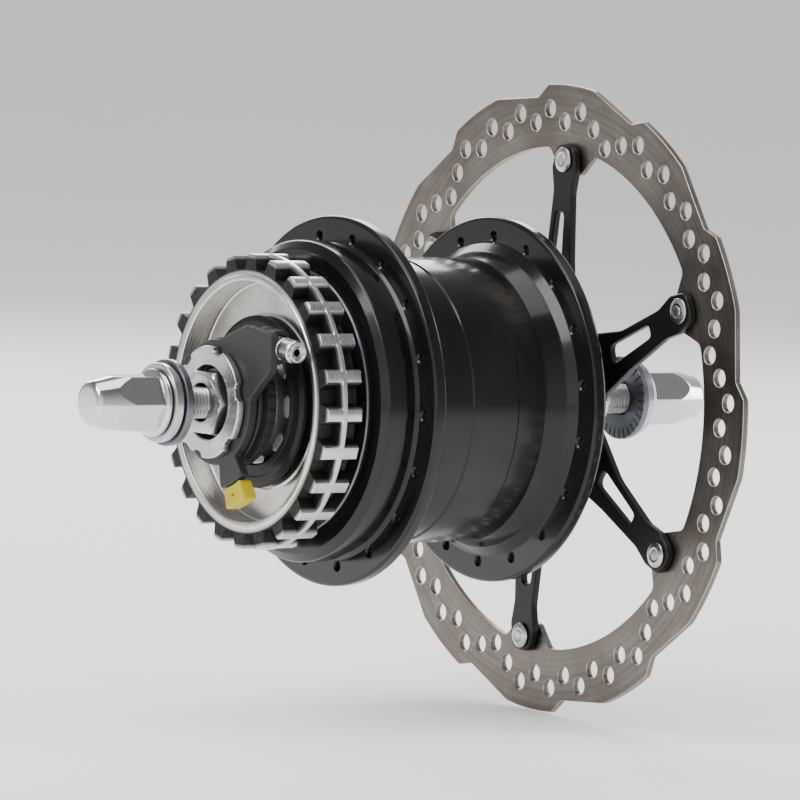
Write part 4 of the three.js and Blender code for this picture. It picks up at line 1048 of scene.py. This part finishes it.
# ---- brake rotor
ROTOR_RADIUS = 90
ROTOR_LOW = 52.4
ROTOR_HIGH = 54.2
LOBES = 12
LOBE_START = 95
ARMS = 6
ARM_START = 26
RIVET_CIRCLE = 69
BAND_INNER = 72
VENT_RADIUS = 2.55
VENTS = 36               # on each of the two circles
VENT_START = 9.4
INNER_VENTS, OUTER_VENTS, VENTS_AT_ARMS = 79.4, 83, 75.8
RIVET_HOLE = 2.4
ROTOR_BORE = 17.8
ARM_ANGLES = around(ARMS, ARM_START)


def rotor_rim():
    """Each lobe is a round stretch, a straight slope and a small step up to the next."""
    pitch = 360 / LOBES
    points = []
    for i in range(LOBES):
        start = LOBE_START - i * pitch
        points += [at(ROTOR_RADIUS, start, 0.9)]
        points += as_drawn(arc(ROTOR_RADIUS, start - 2.2, start - 0.36 * pitch, 5))
        points += [at(ROTOR_RADIUS, start - 0.46 * pitch, 6)]
        points += [at(ROTOR_RADIUS - 3.4, start - 0.89 * pitch, 2.2)]
    return rounded(points, steps=6)


def band_inner_edge():
    points = []
    for angle in ARM_ANGLES:
        points += [at(BAND_INNER, angle - 8.6, 3), at(65.2, angle - 4.2, 2.4), at(64.6, angle, 3)]
        points += [at(65.2, angle + 4.2, 2.4), at(BAND_INNER, angle + 8.6, 3)]
        points += as_drawn(arc(BAND_INNER, angle + 12, angle + 48, 18))
    return rounded(points, steps=5)


def vent_holes():
    """Two circles of vents in a zigzag; at each arm, one of the outer circle's vents is moved inwards."""
    holes = []
    for i, angle in enumerate(around(VENTS, VENT_START)):
        outer = VENTS_AT_ARMS if i % (VENTS / ARMS) == 0 else OUTER_VENTS
        holes.append(circle(VENT_RADIUS, 24, polar(INNER_VENTS, angle)))
        holes.append(circle(VENT_RADIUS, 24, polar(outer, angle + 180 / VENTS)))
    return holes


def rivet_holes():
    return [circle(RIVET_HOLE, 32, polar(RIVET_CIRCLE, angle)) for angle in ARM_ANGLES]


def make_rotor():
    holes = [band_inner_edge(), *vent_holes()]
    holes += rivet_holes()
    stand_for("rotor_band", plate(rotor_rim(), holes, ROTOR_LOW, ROTOR_HIGH, 0.22))
    make_rotor_spider()
    for i, angle in enumerate(ARM_ANGLES):
        make_rivet(f"rotor_rivet_{i + 1}", angle)


def arm_outline(angle):
    """One arm of the spider: it leans back a little from its rivet to the hub."""
    return [
        at(27.5, angle - 21, 5), at(42, angle - 9.5, 14), at(60, angle - 4.6, 8), at(66.5, angle - 4.9, 3),
        at(73.4, angle - 3.2, 3.6), at(73.4, angle + 3.2, 3.6), at(66.5, angle + 4.9, 3),
        at(60, angle + 3.8, 8), at(42, angle + 6.5, 14), at(27.5, angle + 21, 5),
    ]


def make_rotor_spider():
    star = rounded([corner for angle in ARM_ANGLES for corner in arm_outline(angle)], steps=8)
    holes = [circle(ROTOR_BORE, 96), *rivet_holes()]
    for angle in ARM_ANGLES:
        slot = [at(35, angle - 4.6, 2.2), at(54, angle - 2, 1.6)]
        slot += [at(54, angle + 2, 1.6), at(35, angle + 4.6, 2.2)]
        holes.append(rounded(slot, steps=6))
    body = plate(star, holes, 49.9, 52.1, 0.5)
    ring = turned([
        (ROTOR_BORE, 49.9), (25.8, 49.9, 0.4), (25.8, 53.2, 0.6), (24.2, 54.5, 0.4), (ROTOR_BORE, 54.5),
    ])
    teeth = gathered(blocks(around(18), 17, 18.5, 3.4, 0.2, 49, 56, 0.1, 1))
    stand_for("rotor_spider", cut(joined(body, ring), teeth))


def make_rivet(node, angle):
    x, z = polar(RIVET_CIRCLE, angle)
    shank, head = 2.2, 3.6
    corners = [
        (0, 48.75, 0), (1.2, 48.75, 0.2), (1.5, 48.95, 0.2), (shank, 48.75, 0.4), (head, 49.2, 0.5),
        (head, 49.6, 0.15), (shank, 49.6, 0.1), (shank, 54.5, 0.1), (head, 54.5, 0.15),
        (head, 54.9, 0.5), (shank, 55.35, 0.4), (1.5, 55.15, 0.2), (1.2, 55.35, 0.2), (0, 55.35, 0),
    ]
    stand_for(node, shifted(turned(corners, turns=48), x, 0, z))


def make_rotor_lockring():
    ring = turned([
        (13.2, 50.2, 0.2), (15.6, 50.2), (15.6, 54.8, 0.2), (20.8, 54.8), (20.8, 56.5, 0.5),
        (20, 57.3, 0.4), (16.4, 57.3), (15.4, 56.6), (14.2, 56.4), (13.2, 56.4, 0.2),
    ])
    wrench_notches = gathered(blocks(around(16), 12.4, 14.3, 4.4, 0.4, 49, 58, 0.1, 1))
    knurl = gathered(blocks(around(36), 20.45, 21.6, 1.8, 0.15, 55.3, 58, 0.15, 1))
    stand_for("rotor_lockring", cut(ring, wrench_notches, knurl))


# ---- shift mechanism outside the shell
CABLE_STATION = -58
FERRULE_START = (13, CABLE_STATION, 17.9)
FERRULE_END = (33.2, CABLE_STATION, 16.4)
FERRULE_LENGTH = (Vector(FERRULE_END) - Vector(FERRULE_START)).length
BRACKET_LOW, BRACKET_HIGH = -62.9, -60.1
BOLT_ANGLE, BOLT_CIRCLE, BOLT_FLATS = 205, 22.6, 7.3
MARK_ANGLE, MARK_HALF = -65, 9.5


def make_cassette_bracket():
    """Ring with a lug for the mark and a block for the cable, and a holder round the ferrule."""
    ring, lug = 17.5, 24
    lug_from, lug_to = MARK_ANGLE - MARK_HALF - 4, MARK_ANGLE + MARK_HALF + 4
    outline = as_drawn(arc(ring, 96, 360 + lug_from - 5, 60))
    outline += [at(ring, lug_from, 1.2), at(lug, lug_from, 1.5)]
    outline += as_drawn(arc(lug, lug_from + 4, lug_to - 4, 8))
    outline += [at(lug, lug_to, 1.5), at(ring, lug_to, 1.2)]
    outline += as_drawn(arc(ring, lug_to + 5, 2, 18))
    outline += [at(ring, 8, 2.5), (26.5, 11, 2.2), (26.5, 21, 2.2), (14, 22.6, 2.5), at(ring, 88, 2.5)]
    body = plate(rounded(outline, steps=6), [circle(9.9, 72)], BRACKET_LOW, BRACKET_HIGH, 0.5)
    first, last = 0.12 * FERRULE_LENGTH, 0.55 * FERRULE_LENGTH
    holder = turned([
        (0, first, 0), (4, first, 0.5), (4.9, first + 0.9, 0.5), (4.9, first + 3), (4.5, first + 3.4),
        (4.5, last - 3.4), (4.9, last - 3), (4.9, last - 0.5, 0.5), (0, last, 0),
    ], turns=72)
    bore = cylinder(3.5, -5, FERRULE_LENGTH + 5, 48)
    for solid in (holder, bore):
        aimed(solid, FERRULE_START, FERRULE_END)
    stand_for("cassette_bracket", cut(joined(body, holder), bore))


def make_cable_ferrule():
    end = FERRULE_LENGTH
    solid = turned([
        (1, 0, 0.1), (2.9, 0), (3.2, 0.5), (3.2, 10.6, 0.2), (2.95, 10.9, 0.2), (2.95, 11.5, 0.2),
        (3.2, 11.8, 0.2), (3.2, 13.4, 0.2), (2.95, 13.7, 0.2), (2.95, 14.3, 0.2), (3.2, 14.6, 0.2),
        (3.2, end - 1.9), (2.8, end - 1.3, 0.4), (2.7, end - 0.1), (2.2, end, 0.2), (1.9, end - 0.5, 0.2),
        (1, end - 0.9, 0.2),
    ], turns=72)
    stand_for("cable_ferrule", aimed(solid, FERRULE_START, FERRULE_END))


def make_setting_mark():
    outline = sector(24.3, 30.2, MARK_ANGLE, MARK_HALF, 1)
    groove_outline = sector(26.8, 27.5, MARK_ANGLE, 1.6, 0.3)
    groove = plate(groove_outline, [], BRACKET_LOW - 1, BRACKET_LOW + 0.4, 0.05, 1)
    stand_for("setting_mark", cut(plate(outline, [], BRACKET_LOW, BRACKET_HIGH + 1.5, 0.55), groove))


def make_fixing_ring():
    outline = []
    for middle in around(6, 15):
        outline += [at(15.6, middle - 9, 0.5), at(14.3, middle - 6.5, 1.2)]
        outline += [at(14.2, middle, 0), at(14.3, middle + 6.5, 1.2), at(15.6, middle + 9, 0.5)]
        outline += as_drawn(arc(15.6, middle + 12, middle + 48, 12))
    body = plate(rounded(outline, steps=5), [circle(10.3, 72)], -65.4, -63.2, 0.4)
    stand_for("bracket_fixing_ring", body)


def make_shift_pulley():
    wheel = turned([
        (9.8, -59.8), (12, -59.8, 0.1), (12.3, -59.4, 0.2), (14.6, -59.4, 0.2), (14.9, -59.8, 0.1),
        (18, -59.8, 0.25), (18, -59.3, 0.2), (15.6, -58.7, 0.4), (15.4, -58, 0.5), (15.6, -57.3, 0.4),
        (18, -56.7, 0.2), (18, -54.3), (17.4, -53.7), (9.8, -53.7),
    ])
    ear_outline = rounded([
        at(15, BOLT_ANGLE - 16, 0), at(19, BOLT_ANGLE - 14, 3), at(26.6, BOLT_ANGLE - 10, 4),
        at(26.6, BOLT_ANGLE, 0), at(26.6, BOLT_ANGLE + 10, 4), at(19, BOLT_ANGLE + 14, 3),
        at(15, BOLT_ANGLE + 16, 0),
    ], steps=6)
    hole = circle(2.9, 32, polar(BOLT_CIRCLE, BOLT_ANGLE))
    ear = plate(ear_outline, [hole], -57.1, -54.1, 0.4)
    notches = blocks((90, 270), 8.8, 11.5, 10, 0.3, -57.2, -52.7, 0.1, 1)
    clear_of_ear = [a for a in around(30) if abs((a - BOLT_ANGLE + 180) % 360 - 180) > 24]
    grips = [plate(circle(1.3, 20, polar(18.9, a)), [], -56.9, -53, 0.1, 1) for a in clear_of_ear]
    stand_for("shift_pulley", cut(joined(wheel, ear), gathered(notches), gathered(grips)))


def make_cable_fixing_bolt():
    corner = 4.17            # radius of the head's blunted corners
    bolt = turned([
        (0, -59.3, 0), (1.7, -59.3, 0.2), (2, -59.6, 0.2), (3.6, -59.6, 0.1), (corner, -59.2, 0.2),
        (corner, -57.4, 0.2), (2.6, -57.4, 0.1), (2.6, -53.5, 0.1), (2.2, -53.1, 0.1), (0, -53.1, 0),
    ], limit=hexagonal(BOLT_FLATS, 3), turns=48)
    x, z = polar(BOLT_CIRCLE, BOLT_ANGLE)
    stand_for("cable_fixing_bolt", shifted(bolt, x, 0, z))


# ---- stage
VIEW_AZIMUTH = 54.7
VIEW_ELEVATION = 4.7
VIEW_ROLL = 2.7
LENS = 300
SENSOR = 36
MARGIN = 0.8             # share of the box's reach; the box's corners are empty
FLOOR_RADIUS = 40        # metres
SKY_BRIGHT_SIDE = (0.578, -0.816, 0)     # the opposite side is as bright


def make_camera():
    """Camera at the view's angle, far off behind a long lens, with the whole hub in the frame."""
    azimuth, elevation, roll = (math.radians(a) for a in (VIEW_AZIMUTH, VIEW_ELEVATION, VIEW_ROLL))
    back = Vector((
        math.sin(azimuth) * math.cos(elevation),
        -math.cos(azimuth) * math.cos(elevation),
        math.sin(elevation),
    ))
    level = Vector((math.cos(azimuth), math.sin(azimuth), 0))
    above = back.cross(level)
    right = level * math.cos(roll) + above * math.sin(roll)
    up = above * math.cos(roll) - level * math.sin(roll)
    corners = [Vector(corner) for corner in product(*zip(cad_low, cad_high))]
    middle = (cad_low + cad_high) / 2
    reach = max(max(abs((c - middle).dot(right)), abs((c - middle).dot(up))) for c in corners)
    distance = reach * MARGIN * 2 * LENS / SENSOR
    data = bpy.data.cameras.new("camera")
    data.lens = LENS
    data.sensor_width = SENSOR
    data.clip_end = 50
    camera = bpy.data.objects.new("camera", data)
    turn = Matrix((right, up, back)).transposed().to_4x4()
    camera.matrix_world = Matrix.Translation(middle + back * distance) @ turn
    bpy.context.scene.collection.objects.link(camera)
    bpy.context.scene.camera = camera
    return right, up, back


def make_light(name, place, size, power, tint=(1, 1, 1)):
    data = bpy.data.lights.new(name, "AREA")
    data.shape = "RECTANGLE"
    data.size, data.size_y = size
    data.energy = power
    data.color = tint
    light = bpy.data.objects.new(name, data)
    light.location = place
    light.rotation_mode = "QUATERNION"
    light.rotation_quaternion = Vector(place).to_track_quat("Z", "Y")
    bpy.context.scene.collection.objects.link(light)


def make_sky():
    """Light from all round: bright near the horizon, dimmer overhead and on two sides."""
    world = bpy.data.worlds.new("studio")
    world.use_nodes = True
    bpy.context.scene.world = world
    sky = NodeTree(world.node_tree)
    direction = sky.node("ShaderNodeTexCoord").outputs["Generated"]
    height = sky.node("ShaderNodeSeparateXYZ", {0: direction}).outputs[2]
    facing = {0: direction, 1: SKY_BRIGHT_SIDE}
    across = sky.node("ShaderNodeVectorMath", facing, operation="DOT_PRODUCT").outputs["Value"]
    sides = sky.spread(sky.times(across, across), 0.4, 1.35, 0.0, 1.0)
    levels = sky.spread(height, 1.25, 0.45, 0.0, 0.75)
    background = world.node_tree.nodes["Background"]
    world.node_tree.links.new(sky.times(sides, levels), background.inputs["Strength"])
    background.inputs["Color"].default_value = (1, 1, 1, 1)


def make_floor():
    look = Finish("floor", Roughness=0.85, Specular_IOR_Level=0.2)
    look.set(Emission_Color=(1, 1, 1), Emission_Strength=0.4)
    cloud = look.noise(0.004, detail=3.0)
    look.tone((0.88, 0.88, 0.88), (look.spread(cloud), (0.90, 0.90, 0.895)))
    solid = bmesh.new()
    bmesh.ops.create_circle(solid, cap_ends=True, segments=96, radius=FLOOR_RADIUS)
    floor = as_object(solid, "floor")
    floor.location.z = cad_low.z - 0.8 * MM
    floor.data.materials.append(look.material)


def make_studio():
    right, up, back = make_camera()
    make_light("key", right * -0.7 + back * 0.7 + up * 1.0, (0.8, 0.8), 16)
    make_light("strip", right * 1.3 - back * 0.35 + up * 0.3, (0.3, 1.2), 9)
    make_light("behind", right * -0.3 - back * 1.1 + up * 0.8, (1.2, 0.5), 14)
    make_light("top", Vector((0, 0, 1.5)), (1.2, 1.2), 12)
    make_sky()
    make_floor()


# ---- assembly
make_studio()
for node, carried in frame["nodes"].items():
    carried.data.materials.clear()
    carried.data.materials.append(FINISHES[SLOT_OF[node]])
make_axle()
make_axle_ends()
make_hub_shell()
make_shell_inserts()
make_belt_sprocket()
make_sprocket_retainers()
make_rotor()
make_rotor_lockring()
make_cassette_bracket()
make_cable_ferrule()
make_setting_mark()
make_fixing_ring()
make_shift_pulley()
make_cable_fixing_bolt()
make_bearings()
make_axle_stop_nut()
stand_for("return_spring", coil(8.4, 0.55, 21, 28.6, 3))
make_shift_sleeve()
make_suns()
make_planets()
make_planet_carrier()
make_ring_gear()
make_clutch()
make_driver()
